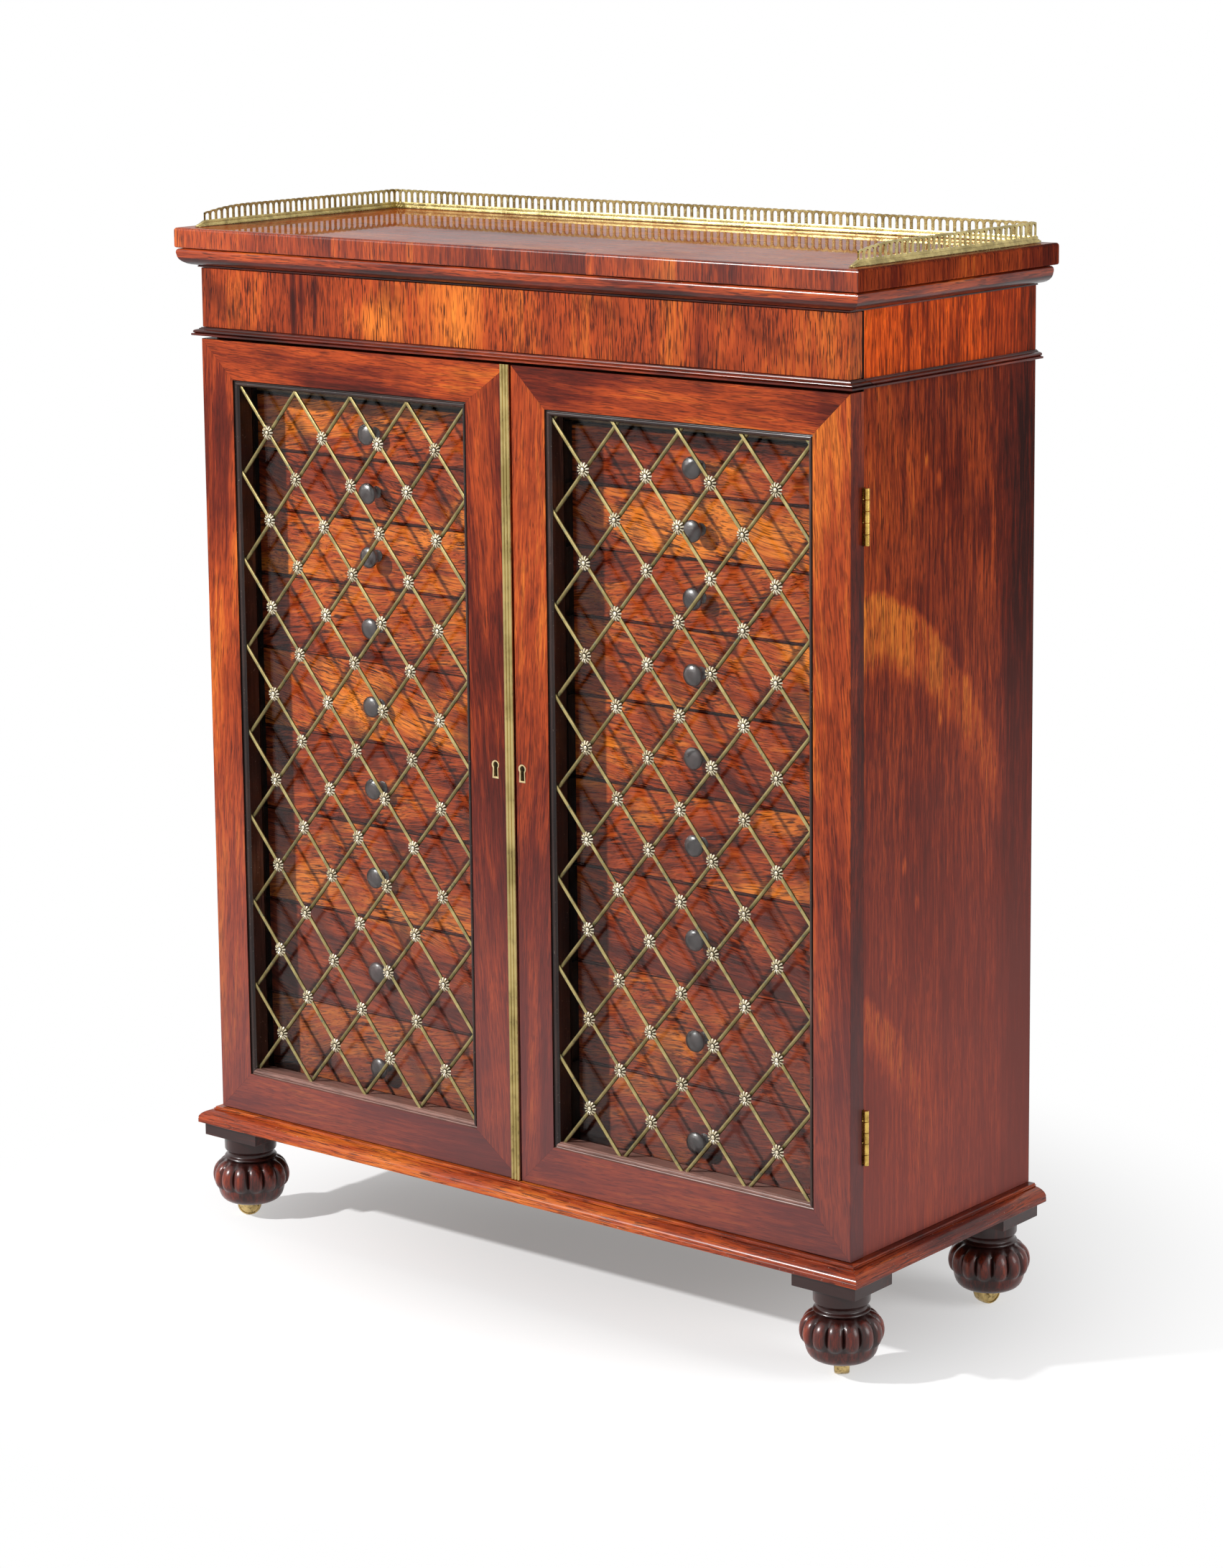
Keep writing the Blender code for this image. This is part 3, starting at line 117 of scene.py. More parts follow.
class Graph:
    """Writes nodes into one tree. A socket given as a value is set, and one given as an output is linked."""

    def __init__(self, tree, keep=False):
        self.tree = tree
        if not keep:
            self.tree.nodes.clear()

    def put(self, kind, inputs=None, **settings):
        node = self.tree.nodes.new(kind)
        for key, value in settings.items():
            setattr(node, key, value)
        for key, value in (inputs or {}).items():
            self.feed(node.inputs[key], value)
        return node

    def feed(self, socket, value):
        if isinstance(value, bpy.types.NodeSocket):
            self.tree.links.new(value, socket)
        elif value is not None:
            socket.default_value = value

    def math(self, operation, *values, clamp=False):
        node = self.put("ShaderNodeMath", operation=operation, use_clamp=clamp)
        for socket, value in zip(node.inputs, values):
            self.feed(socket, value)
        return node.outputs[0]

    def move(self, operation, *values):
        node = self.put("ShaderNodeVectorMath", operation=operation)
        for socket, value in zip(node.inputs, values):
            self.feed(socket, value)
        return node.outputs[0]

    def remap(self, value, low, high, to_low=0.0, to_high=1.0, kind="SMOOTHSTEP"):
        wanted = {"Value": value, "From Min": low, "From Max": high, "To Min": to_low, "To Max": to_high}
        return self.put("ShaderNodeMapRange", wanted, interpolation_type=kind).outputs[0]

    def noise(self, vector, scale, detail=2.0, roughness=0.5, output="Fac"):
        wanted = {"Vector": vector, "Scale": scale, "Detail": detail, "Roughness": roughness}
        return self.put("ShaderNodeTexNoise", wanted).outputs[output]

    def blend(self, factor, first, second, kind="MIX"):
        node = self.put("ShaderNodeMix", data_type="RGBA", blend_type=kind)
        for index, value in ((0, factor), (6, first), (7, second)):
            self.feed(node.inputs[index], value if isinstance(value, (float, bpy.types.NodeSocket)) else (*value, 1.0))
        return node.outputs[2]

    def ramp(self, value, stops):
        node = self.put("ShaderNodeValToRGB", {"Fac": value})
        steps = node.color_ramp.elements
        while len(steps) < len(stops):
            steps.new(0.5)
        for step, (place, colour) in zip(steps, stops):
            step.position = place
            step.color = (*colour, 1.0)
        return node.outputs["Color"]

    def times(self, *values, clamp=False):
        return self.math("MULTIPLY", *values, clamp=clamp)

    def fused(self, value, factor, base):
        """Value times factor, plus base."""
        return self.math("MULTIPLY_ADD", value, factor, base)

    def stretch(self, vector, sizes):
        return self.move("MULTIPLY", vector, sizes)

    def scaled(self, vector, factor):
        return self.put("ShaderNodeVectorMath", {0: vector, "Scale": factor}, operation="SCALE").outputs[0]

    def length(self, vector):
        return self.put("ShaderNodeVectorMath", {0: vector}, operation="LENGTH").outputs["Value"]

    def here(self):
        """Object coordinates, in metres."""
        return self.put("ShaderNodeTexCoord").outputs["Object"]

    def turned(self, vector, angles):
        return self.put("ShaderNodeMapping", {"Vector": vector, "Rotation": angles}).outputs[0]

    def own(self, name, output="Fac"):
        """An attribute that the piece carries."""
        return self.put("ShaderNodeAttribute", attribute_name=name).outputs[output]

    def bumps(self, height, strength, distance):
        wanted = {"Height": height, "Strength": strength, "Distance": distance}
        return self.put("ShaderNodeBump", wanted).outputs["Normal"]

    def seen(self):
        """One for what the camera sees, also in a mirror or through glass, and nought for what only lights."""
        path = self.put("ShaderNodeLightPath").outputs
        plain = self.math("MAXIMUM", path["Is Camera Ray"], path["Is Glossy Ray"])
        return self.math("MAXIMUM", plain, path["Is Transmission Ray"])

    def finish(self, shader, kind="Material"):
        self.put("ShaderNodeOutput" + kind, {"Surface": shader.outputs[0]})

    def split(self, vector):
        return self.put("ShaderNodeSeparateXYZ", {"Vector": vector}).outputs

    def join(self, x, y, z):
        return self.put("ShaderNodeCombineXYZ", {"X": x, "Y": y, "Z": z}).outputs[0]


def new_material(name):
    material = bpy.data.materials.new(name)
    material.use_nodes = True
    return material, Graph(material.node_tree)


def effect(name, inputs, outputs, kind="Shader"):
    """An empty node group with named sockets, and its graph, input sockets and output sockets."""
    tree = bpy.data.node_groups.new(name, kind + "NodeTree")
    for socket, kind, value in inputs:
        made = tree.interface.new_socket(socket, in_out="INPUT", socket_type="NodeSocket" + kind)
        if value is not None:
            made.default_value = value
    for socket, kind in outputs:
        tree.interface.new_socket(socket, in_out="OUTPUT", socket_type="NodeSocket" + kind)
    graph = Graph(tree)
    return tree, graph, graph.put("NodeGroupInput").outputs, graph.put("NodeGroupOutput").inputs


def use(graph, tree, **inputs):
    """Places a group in a graph. Underscores in a keyword stand for the spaces of a socket's name."""
    node = graph.put("ShaderNodeGroup", node_tree=tree)
    for key, value in inputs.items():
        graph.feed(node.inputs[key.replace("_", " ")], value)
    return node.outputs


print("node helpers ready")

# %% [markdown]
# ## What all the wood shares
#
# Rosewood and mahogany veneers show a broad drifting figure, soft streaks, fine fibre and short dark
# pores. One group makes all four from a coordinate whose X runs along the grain, so that each board
# only has to say which way its grain goes. A second group gives the marks of two centuries of dusting:
# cloudy patches in the polish and a few hairline scratches.

# %% Wood groups


def make_wood_figure():
    tree, g, given, made = effect(
        "wood figure",
        [("Vector", "Vector", None), ("Figure Scale", "Float", 14.0), ("Fibre Scale", "Float", 260.0),
         ("Line Scale", "Float", 70.0), ("Warp", "Float", 0.012)],
        [("Broad", "Float"), ("Lines", "Float"), ("Fibre", "Float"), ("Pores", "Float")])
    drift = g.move("SUBTRACT", g.noise(given["Vector"], 9.0, 2.0, 0.5, "Color"), (0.5, 0.5, 0.5))
    drift = g.scaled(drift, given["Warp"])
    place = g.move("ADD", given["Vector"], drift)
    slow = g.stretch(place, (0.30, 1.0, 1.0))
    fast = g.stretch(place, (0.055, 1.0, 1.0))
    short = g.stretch(place, (0.05, 1.0, 1.0))
    broad = g.remap(g.noise(slow, given["Figure Scale"], 3.0, 0.55), 0.30, 0.70)
    lines = g.remap(g.noise(fast, given["Line Scale"], 2.0, 0.55), 0.34, 0.66)
    fibre = g.remap(g.noise(fast, given["Fibre Scale"], 4.0, 0.70), 0.30, 0.70)
    pore = g.noise(short, g.times(given["Fibre Scale"], 4.2), 1.0, 0.4)
    crowd = g.noise(slow, g.times(given["Figure Scale"], 2.0), 2.0)
    pores = g.remap(g.fused(crowd, 0.16, pore), 0.625, 0.70)
    for name, value in (("Broad", broad), ("Lines", lines), ("Fibre", fibre), ("Pores", pores)):
        g.feed(made[name], value)
    return tree


def make_handling():
    tree, g, given, made = effect(
        "handling marks", [("Vector", "Vector", None), ("Amount", "Float", 1.0)],
        [("Cloud", "Float"), ("Scratch", "Float"), ("Dust", "Float")])
    cloud = g.remap(g.noise(given["Vector"], 17.0, 4.0, 0.6), 0.35, 0.75)
    tilted = g.turned(given["Vector"], (0.4, 0.7, 0.5))
    thin = g.stretch(tilted, (4.0, 900.0, 30.0))
    scratch = g.remap(g.noise(thin, 1.0, 1.0), 0.70, 0.76)
    scratch = g.times(scratch, g.remap(g.noise(given["Vector"], 23.0, 1.0), 0.5, 0.62))
    dust = g.remap(g.noise(given["Vector"], 620.0, 2.0, 0.7), 0.66, 0.80)
    for name, value in (("Cloud", cloud), ("Scratch", scratch), ("Dust", dust)):
        g.feed(made[name], g.times(value, given["Amount"]))
    return tree


WOOD_FIGURE = make_wood_figure()
HANDLING = make_handling()
print("wood groups:", WOOD_FIGURE.name, "and", HANDLING.name)

# %% [markdown]
# ## Polished wood
#
# French polish is many thin coats of shellac. In Blender that is a coloured, slightly rough base with a
# clear coat over it. The colour comes from four stops, from the darkest line to the lightest fibre.
# A piece made here carries its own grain coordinate and tone as attributes. A CAD node carries none, so
# its material takes object coordinates and turns them to run along the grain.

# %% Polished wood
ROSEWOOD = ((0.020, 0.004, 0.003), (0.120, 0.014, 0.006), (0.350, 0.052, 0.011), (0.700, 0.190, 0.024))


def grain_place(g, along):
    """Grain coordinate: the piece's own attribute, or object coordinates with one axis laid along X."""
    if along == "piece":
        return g.own("grain", "Vector")
    x, y, z = g.split(g.here())
    return g.join(x, z, y) if along == "X" else g.join(z, x, y)


def flame_tone(g, place, top, bend, start, height, reach, strength):
    """A band of lighter figure that leaves the front edge level, bends down and fades as it goes back."""
    x, y, z = g.split(g.here())
    depth = g.math("SUBTRACT", y, FACE_Y)
    run = g.math("MAXIMUM", g.math("SUBTRACT", depth, start), 0.0)
    level = g.fused(g.times(run, run), bend, z)
    level = g.fused(g.math("SUBTRACT", g.noise(place, 30.0, 4.0, 0.6), 0.5), 0.030, level)
    band = g.times(g.remap(level, top - 1.35 * height, top - 0.75 * height),
                  g.remap(level, top - 0.14 * height, top + 0.10 * height, 1.0, 0.0))
    return g.times(band, g.remap(depth, 0.25 * reach, reach, strength, 0.0))


def dark_flecks(g, place):
    """Short dark strokes along the grain and wider smoky streaks aslant to it."""
    stroke = g.remap(g.noise(g.stretch(place, (0.10, 1.0, 1.0)), 620.0, 3.0, 0.6), 0.50, 0.62)
    crowd = g.remap(g.noise(place, 24.0, 2.0), 0.36, 0.60)
    turned = g.turned(place, (0.0, 0.9, 0.9))
    smoke = g.remap(g.noise(g.stretch(turned, (0.30, 1.0, 1.0)), 30.0, 3.0, 0.55), 0.50, 0.72)
    return g.math("MAXIMUM", g.times(stroke, crowd), g.times(smoke, 0.72))


def polished(name, along="piece", colours=ROSEWOOD, mix=(0.40, 0.12, 0.22), lift=0.08, figure=14.0, fibre=300.0,
             lines=70.0, warp=0.005, flecks=None, patches=(), flames=(), veil=None, pores=0.70, rough=0.40, coat=0.14,
             coat_rough=0.06, bump=0.10, marks=1.0, dust_and_light=0.0, specular=0.06):
    """Polished wood. Mix is the share of broad figure, streaks and fibre in the tone, and flecks the strength of
    dark strokes and of golden clouds.

    A patch is (centre, size, strength) and a flame (top, bend, start, height, reach, strength), both of lighter
    figure. A veil is (low z, high z, colour, amount), a tint that grows downwards: partly dust in old polish, partly a
    painted reflection."""
    material, g = new_material(name)
    place = grain_place(g, along)
    grown = use(g, WOOD_FIGURE, Vector=place, Figure_Scale=figure, Fibre_Scale=fibre, Line_Scale=lines, Warp=warp)
    worn = use(g, HANDLING, Vector=g.here(), Amount=marks)
    tone = g.times(grown["Broad"], mix[0])
    tone = g.fused(grown["Lines"], mix[1], tone)
    tone = g.fused(grown["Fibre"], mix[2], tone)
    tone = g.math("ADD", tone, lift)
    if along == "piece":
        own = g.own("tone")
        tone = g.math("ADD", tone, own)
    for centre, size, strength in patches:
        placed = {"Vector": g.here(), "Location": centre, "Scale": size}
        local = g.put("ShaderNodeMapping", placed, vector_type="TEXTURE").outputs[0]
        away = g.length(local)
        away = g.fused(g.noise(place, 30.0, 3.0), 0.5, away)
        tone = g.fused(g.remap(away, 0.35, 1.25, 1.0, 0.0), strength, tone)
    for flame in flames:
        tone = g.math("ADD", tone, flame_tone(g, place, *flame))
    step = (0.0, 0.30, 0.58, 0.95)
    if flecks:
        gold = g.remap(g.noise(g.stretch(place, (0.6, 1.0, 1.0)), 17.0, 2.0), 0.50, 0.74, 0.0, flecks[1])
        tone = g.math("ADD", tone, gold)
    colour = g.ramp(tone, list(zip(step, colours)))
    if flecks:
        colour = g.blend(g.times(dark_flecks(g, place), flecks[0]), colour, colours[0])
    colour = g.blend(g.times(grown["Pores"], pores), colour, colours[0])
    # Pale specks from the handling marks: dust, and on the base moulding also painted glints.
    if dust_and_light:
        colour = g.blend(g.times(worn["Dust"], dust_and_light), colour, (0.42, 0.34, 0.28))
    # The veil tints the colour more towards the bottom: partly dust in old polish, partly a painted reflection.
    if veil:
        height = g.split(g.here())[2]
        height = g.fused(g.noise(place, 6.0, 2.0), 0.10, height)
        colour = g.blend(g.remap(height, veil[0], veil[1], veil[3], 0.0), colour, veil[2])
    height = g.fused(grown["Pores"], -0.6, g.times(grown["Fibre"], 0.25))
    height = g.fused(worn["Scratch"], -0.5, height)
    roughness = g.fused(worn["Cloud"], 0.16, rough - 0.05)
    roughness = g.fused(worn["Scratch"], 0.20, roughness)
    bumped = g.bumps(height, bump, 0.0004)
    weight = g.fused(worn["Cloud"], -0.25 * coat, coat)
    shader = g.put("ShaderNodeBsdfPrincipled", {
        "Base Color": colour, "Roughness": roughness, "Normal": bumped, "Coat Weight": weight,
        "Coat Roughness": coat_rough, "Specular IOR Level": specular})
    g.finish(shader)
    return material


VENEER = {
    "top": polished("top_veneer", figure=9.0, lines=42.0, lift=0.30, coat=0.42, coat_rough=0.03, bump=0.05, warp=0.02,
                    specular=0.0, mix=(0.34, 0.10, 0.16)),
    "band": polished("crossband_veneer", figure=22.0, lines=120.0, lift=0.10, mix=(0.24, 0.08, 0.20),
                     flecks=(0.34, 0.0), coat=0.60, coat_rough=0.22),
    "band_side": polished("crossband_side_veneer", figure=22.0, lines=120.0, lift=0.15, mix=(0.24, 0.08, 0.20),
                          flecks=(0.34, 0.0), coat=0.06, specular=0.0),
    "door": polished("door_veneer", figure=10.0, lines=60.0, lift=0.02, warp=0.008, mix=(0.54, 0.12, 0.26), pores=0.55,
                     flecks=(0.40, 0.0), veil=(0.15, 0.56, (0.145, 0.062, 0.062), 0.62),
                     patches=[((0.020, FACE_Y, 0.200), (0.013, 0.4, 0.16), 0.32)]),
    "drawer": polished("drawer_veneer", figure=20.0, lines=90.0, lift=0.18, flecks=(0.94, 0.26), warp=0.024, coat=0.05,
                       mix=(0.34, 0.14, 0.30), specular=0.0, veil=(0.12, 0.50, (0.130, 0.062, 0.058), 0.46)),
    "moulding": polished("moulding_wood", figure=18.0, lines=110.0, lift=-0.10, mix=(0.34, 0.14, 0.24), coat=0.55,
                         coat_rough=0.19),
    "base": polished("base_wood", figure=16.0, lines=110.0, lift=0.10, mix=(0.44, 0.14, 0.24), coat=0.50,
                     coat_rough=0.20, dust_and_light=0.9),
}
print("polished woods:", ", ".join(VENEER))

# %% [markdown]
# ## Ebonised wood, brass and glass
#
# The knobs, the slips round the glass and the cheeks inside are pear or beech stained black and
# polished; on the cheeks inside, the black also stands for painted shade. Each brass fitting has its own
# tone: the thin gallery is pale, the lattice has grey-green patches where the lacquer has gone, and the
# hinges are bright. The panes are old cylinder glass with a slight green and a waver.

# %% Ebonised wood, brass and glass
SLIP_STAIN = ((0.004, 0.002, 0.002), (0.014, 0.006, 0.005), (0.040, 0.018, 0.013), (0.240, 0.120, 0.095))
KNOB_STAIN = ((0.008, 0.004, 0.004), (0.018, 0.009, 0.009), (0.042, 0.020, 0.020), (0.080, 0.040, 0.036))
STAIN_AND_SHADE_BLACK = ((0.004, 0.003, 0.003), (0.010, 0.007, 0.006), (0.026, 0.014, 0.010), (0.060, 0.030, 0.020))
DULL_OAK = ((0.020, 0.010, 0.005), (0.075, 0.036, 0.016), (0.150, 0.080, 0.038), (0.250, 0.150, 0.080))


def make_patina():
    tree, g, given, made = effect(
        "brass patina", [("Vector", "Vector", None), ("Scale", "Float", 60.0)],
        [("Cloud", "Float"), ("Spots", "Float"), ("Pits", "Float")])
    size = given["Scale"]
    warped = g.noise(given["Vector"], g.times(size, 0.5), 2.0, 0.5, "Color")
    place = g.scaled(warped, 0.01)
    place = g.move("ADD", given["Vector"], place)
    g.feed(made["Cloud"], g.remap(g.noise(place, size, 3.0, 0.6), 0.36, 0.66))
    g.feed(made["Spots"], g.remap(g.noise(place, g.times(size, 5.0), 3.0, 0.6), 0.50, 0.68))
    g.feed(made["Pits"], g.remap(g.noise(given["Vector"], g.times(size, 22.0), 2.0), 0.35, 0.75))
    return tree


PATINA = make_patina()


def brass(name, light, dark, stain, stained, rough, scale):
    material, g = new_material(name)
    aged = use(g, PATINA, Vector=g.here(), Scale=scale)
    colour = g.blend(aged["Cloud"], dark, light)
    patch = g.times(aged["Spots"], g.math("SUBTRACT", 1.25, aged["Cloud"]), clamp=True)
    colour = g.blend(g.times(patch, stained), colour, stain)
    # The tone attribute darkens a fitting towards near black: painted shade on the lattice rods, and grime with painted
    # shade in the rosette grooves.
    shade_and_grime = g.own("tone")
    colour = g.blend(shade_and_grime, colour, (0.028, 0.020, 0.010))
    roughness = g.fused(patch, 0.30, rough)
    bumped = g.bumps(aged["Pits"], 0.12, 0.0003)
    shader = g.put("ShaderNodeBsdfPrincipled", {
        "Base Color": colour, "Roughness": roughness, "Metallic": 1.0, "Normal": bumped})
    g.finish(shader)
    return material


def window_glass(name):
    """Thin old glass. The panes bend light only where the eye sees them, so lamps still reach the drawers."""
    material, g = new_material(name)
    place = g.here()
    waver = g.noise(g.stretch(place, (1.0, 1.0, 0.35)), 14.0, 1.0)
    bumped = g.bumps(waver, 0.08, 0.003)
    film = g.remap(g.noise(place, 90.0, 4.0, 0.7), 0.50, 0.90)
    colour = g.blend(film, (0.97, 0.98, 0.97), (0.86, 0.85, 0.84))
    pane = g.put("ShaderNodeBsdfPrincipled", {
        "Base Color": colour, "Roughness": 0.015, "IOR": 1.24, "Transmission Weight": 1.0, "Normal": bumped})
    clear = g.put("ShaderNodeBsdfTransparent", {"Color": (0.96, 0.97, 0.96, 1.0)})
    path = g.put("ShaderNodeLightPath").outputs
    passing = g.math("MAXIMUM", path["Is Shadow Ray"], path["Is Diffuse Ray"])
    both = g.put("ShaderNodeMixShader", {0: passing, 1: pane.outputs[0], 2: clear.outputs[0]})
    g.finish(both)
    return material


BLACKED = {
    "slip": polished("ebonised_slip", colours=SLIP_STAIN, pores=0.4, rough=0.36, coat=0.35, coat_rough=0.12,
                     specular=0.2, dust_and_light=0.6),
    "knob": polished("ebonised_knob", along="X", colours=KNOB_STAIN, pores=0.1, rough=0.42, coat=1.0, lift=0.15,
                     mix=(0.20, 0.06, 0.10), coat_rough=0.24, specular=0.3),
    "inside": polished("blackened_inside", along="Z", colours=STAIN_AND_SHADE_BLACK, pores=0.3, rough=0.55, coat=0.0, specular=0.0),
}
BRASS = {
    "gallery": brass("gallery_brass", (0.56, 0.45, 0.19), (0.31, 0.24, 0.095), (0.16, 0.15, 0.09), 0.50, 0.24, 70.0),
    "lattice": brass("lattice_brass", (0.66, 0.53, 0.23), (0.38, 0.30, 0.12), (0.17, 0.20, 0.15), 0.80, 0.32, 55.0),
    "rosette": brass("rosette_brass", (0.86, 0.79, 0.62), (0.58, 0.50, 0.35), (0.26, 0.26, 0.21), 0.36, 0.36, 90.0),
    "strip": brass("strip_brass", (0.55, 0.43, 0.18), (0.35, 0.27, 0.10), (0.15, 0.11, 0.055), 0.45, 0.30, 30.0),
    "rim": brass("keyhole_brass", (0.86, 0.72, 0.42), (0.64, 0.50, 0.27), (0.34, 0.25, 0.12), 0.35, 0.30, 90.0),
    "hinge": brass("hinge_brass", (0.74, 0.50, 0.13), (0.44, 0.27, 0.06), (0.22, 0.15, 0.06), 0.40, 0.24, 80.0),
    "caster": brass("caster_brass", (0.74, 0.55, 0.24), (0.38, 0.27, 0.11), (0.06, 0.05, 0.03), 0.60, 0.32, 70.0),
}
OLD_WOOD = polished("inside_wood", along="X", colours=DULL_OAK, pores=0.6, rough=0.62, coat=0.0, marks=0.6, dust_and_light=0.4)
GLASS = window_glass("old_glass")
print("other materials:", ", ".join(list(BLACKED) + list(BRASS)))

# %% [markdown]
# ## Making a piece
#
# A piece is a list of closed bodies in world metres. Each body says which way its grain runs, how far
# along the board it was cut and how dark it is. The material reads that instead of a flat projection, so
# a mitred frame shows four boards and not one printed sheet.

# %% Making a piece
SIDES = {-1: "left", 1: "right"}
CASE_HALF, CASE_REAR, JOIN_X = 0.333, 0.249, 0.3333
GRAIN = {"X": (Vector((1, 0, 0)), Vector((0, 0, 1))), "Y": (Vector((0, 1, 0)), Vector((0, 0, 1))),
         "Z": (Vector((0, 0, 1)), Vector((1, 1, 0)).normalized())}


def at_depth(depth):
    return FACE_Y + depth


def loft(rings, closed_path=False):
    """Points and faces of a body that runs through rings of equal length."""
    count = len(rings[0])
    points = [Vector(point) for ring in rings for point in ring]
    faces = []
    for i in range(len(rings) if closed_path else len(rings) - 1):
        low, high = i * count, (i + 1) % len(rings) * count
        faces += [(low + j, low + (j + 1) % count, high + (j + 1) % count, high + j) for j in range(count)]
    if not closed_path:
        last = (len(rings) - 1) * count
        faces += [tuple(range(count))[::-1], tuple(range(last, last + count))]
    return points, faces


def lathe(profile, sides):
    """A body turned round Z through (radius, z) points."""
    turns = [2 * math.pi * i / sides for i in range(sides)]
    return loft([[(radius * math.cos(a), radius * math.sin(a), z) for a in turns] for radius, z in profile])


def moved(solid, matrix):
    return [matrix @ point for point in solid[0]], solid[1]


def new_mesh(name, points, faces):
    mesh = bpy.data.meshes.new(name)
    mesh.from_pydata([tuple(point) for point in points], [], faces)
    return mesh


def loose_object(name, data):
    thing = bpy.data.objects.new(name, data)
    bpy.context.scene.collection.objects.link(thing)
    return thing


def baked(thing):
    """The mesh that an object's modifiers make."""
    return bpy.data.meshes.new_from_object(thing.evaluated_get(bpy.context.evaluated_depsgraph_get()))


def outward(mesh):
    """Turns all normals out of the body."""
    builder = bmesh.new()
    builder.from_mesh(mesh)
    bmesh.ops.recalc_face_normals(builder, faces=builder.faces[:])
    builder.to_mesh(mesh)
    builder.free()


def board(low, high, arris=0.0004, steps=2):
    """A box with rounded arrises."""
    builder = bmesh.new()
    bmesh.ops.create_cube(builder, size=1.0)
    for vert in builder.verts:
        vert.co = Vector([high[i] if vert.co[i] > 0 else low[i] for i in range(3)])
    bmesh.ops.bevel(builder, geom=builder.edges[:], offset=arris, segments=steps, profile=0.5, affect="EDGES")
    builder.verts.index_update()
    solid = [v.co.copy() for v in builder.verts], [tuple(v.index for v in f.verts) for f in builder.faces]
    builder.free()
    return solid


def carve(solid, cutters):
    """Cuts bodies out of a body."""
    things = []
    for part in [solid] + cutters:
        mesh = new_mesh("carving", *part)
        outward(mesh)
        things.append(loose_object("carving", mesh))
    for tool in things[1:]:
        modifier = things[0].modifiers.new("cut", "BOOLEAN")
        modifier.operation = "DIFFERENCE"
        modifier.solver = "EXACT"
        modifier.object = tool
    result = baked(things[0])
    solid = [v.co.copy() for v in result.vertices], [tuple(p.vertices) for p in result.polygons]
    for thing in things:
        bpy.data.objects.remove(thing)
    return solid


class Piece:
    """Closed bodies in world metres, each with its own grain and tone."""

    def __init__(self):
        self.points, self.faces, self.grain, self.tones = [], [], [], []

    def add(self, solid, grain="X", shift=0.0, tone=0.0):
        start = len(self.points)
        along, across = GRAIN[grain] if isinstance(grain, str) else grain
        third = along.cross(across)
        tones = tone if isinstance(tone, list) else [tone] * len(solid[0])
        for point in solid[0]:
            self.points.append(point)
            self.grain.append((point.dot(along) + shift, point.dot(across) + 0.37 * shift, point.dot(third)))
        self.tones += tones
        self.faces += [tuple(start + i for i in face) for face in solid[1]]
        return self

    def place(self, name, body, slot, material, *old, crease=32.0):
        mesh = new_mesh(name, self.points, self.faces)
        mesh.attributes.new("grain", "FLOAT_VECTOR", "POINT").data.foreach_set(
            "vector", [value for vector in self.grain for value in vector])
        mesh.attributes.new("tone", "FLOAT", "POINT").data.foreach_set("value", self.tones)
        mesh.materials.append(material)
        return place(name, mesh, body, slot, *old, crease=crease)


def place(name, mesh, body, slot, *old, crease=32.0):
    """Turns a finished mesh into a piece that rides on a body and stands for CAD nodes.

    Normals are weighted by area, so a flat face stays flat beside its small rounded arris."""
    outward(mesh)
    mesh.shade_smooth()
    mesh.set_sharp_from_angle(angle=math.radians(crease))
    thing = loose_object(name, mesh)
    weighted = thing.modifiers.new("weighted", "WEIGHTED_NORMAL")
    weighted.keep_sharp = True
    weighted.weight = 100
    thing.data = baked(thing)
    thing.modifiers.clear()
    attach(thing, body)
    if old:
        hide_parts(*old)
    return thing


def repaint(node, material):
    """A CAD node keeps its mesh and takes a better material."""
    thing = bpy.data.objects[node]
    thing.data.materials.clear()
    thing.data.materials.append(material)


print("piece helpers ready")

# %% [markdown]
# ## Sides, boards and back
#
# The sides are one wide veneered board each. The photo shows a dark red-brown ground with two curved
# flames of orange figure, and a lighter board above the waist. The inner faces are painted black, partly
# as stain and partly as painted shade, so the space beside the drawers reads as black. The back is old
# unpolished oak, which is a guess.

# %% Sides, boards and back
SIDE_FACE_X = 0.3325
WAIST_Z = 0.7715
FLAMES = ((0.612, 4.28, 0.015, 0.050, 0.270, 0.36), (0.306, 9.5, 0.0, 0.042, 0.130, 0.30))
SPARKS = ((0.072, 0.394), (0.089, 0.363), (0.052, 0.308), (0.117, 0.689), (0.119, 0.502), (0.100, 0.705))


def side_material():
    """The outer face of a side: flames, small orange sparks, a lighter board above the waist, and black inside, partly
    stain and partly painted shade.
    """
    patches = [((0.333, FACE_Y + depth, z), (0.30, 0.0045, 0.011), 0.34) for depth, z in SPARKS]
    patches += [((0.333, FACE_Y + 0.235, 0.430), (0.30, 0.060, 0.600), -0.34)]
    material = polished("side_veneer", along="Z", figure=8.0, lines=60.0, lift=-0.02, warp=0.006, patches=patches,
                        flames=FLAMES, veil=(0.10, 0.76, (0.320, 0.100, 0.086), 0.56), mix=(0.24, 0.16, 0.34),
                        flecks=(0.34, 0.0), coat=0.04, coat_rough=0.10, specular=0.02)
    g = Graph(material.node_tree, keep=True)
    shader = next(n for n in g.tree.nodes if n.type == "BSDF_PRINCIPLED")
    socket = shader.inputs["Base Color"]
    colour = socket.links[0].from_socket
    x, y, z = g.split(g.here())
    lighter = g.blend(g.remap(z, WAIST_Z, WAIST_Z + 0.001), colour, (2.4, 2.2, 1.15), "MULTIPLY")
    # The inner faces and the front edge are painted black: partly stain, partly painted shade.
    inner = g.remap(g.math("ABSOLUTE", x), SIDE_FACE_X - 0.0004, SIDE_FACE_X, 1.0, 0.0)
    inner = g.math("MAXIMUM", inner, g.remap(y, at_depth(0.0182), at_depth(0.0188), 1.0, 0.0))
    rear = g.remap(y, at_depth(0.2484), at_depth(0.2488))
    g.feed(socket, g.blend(rear, g.blend(inner, lighter, STAIN_AND_SHADE_BLACK[1]), DULL_OAK[1]))
    return material


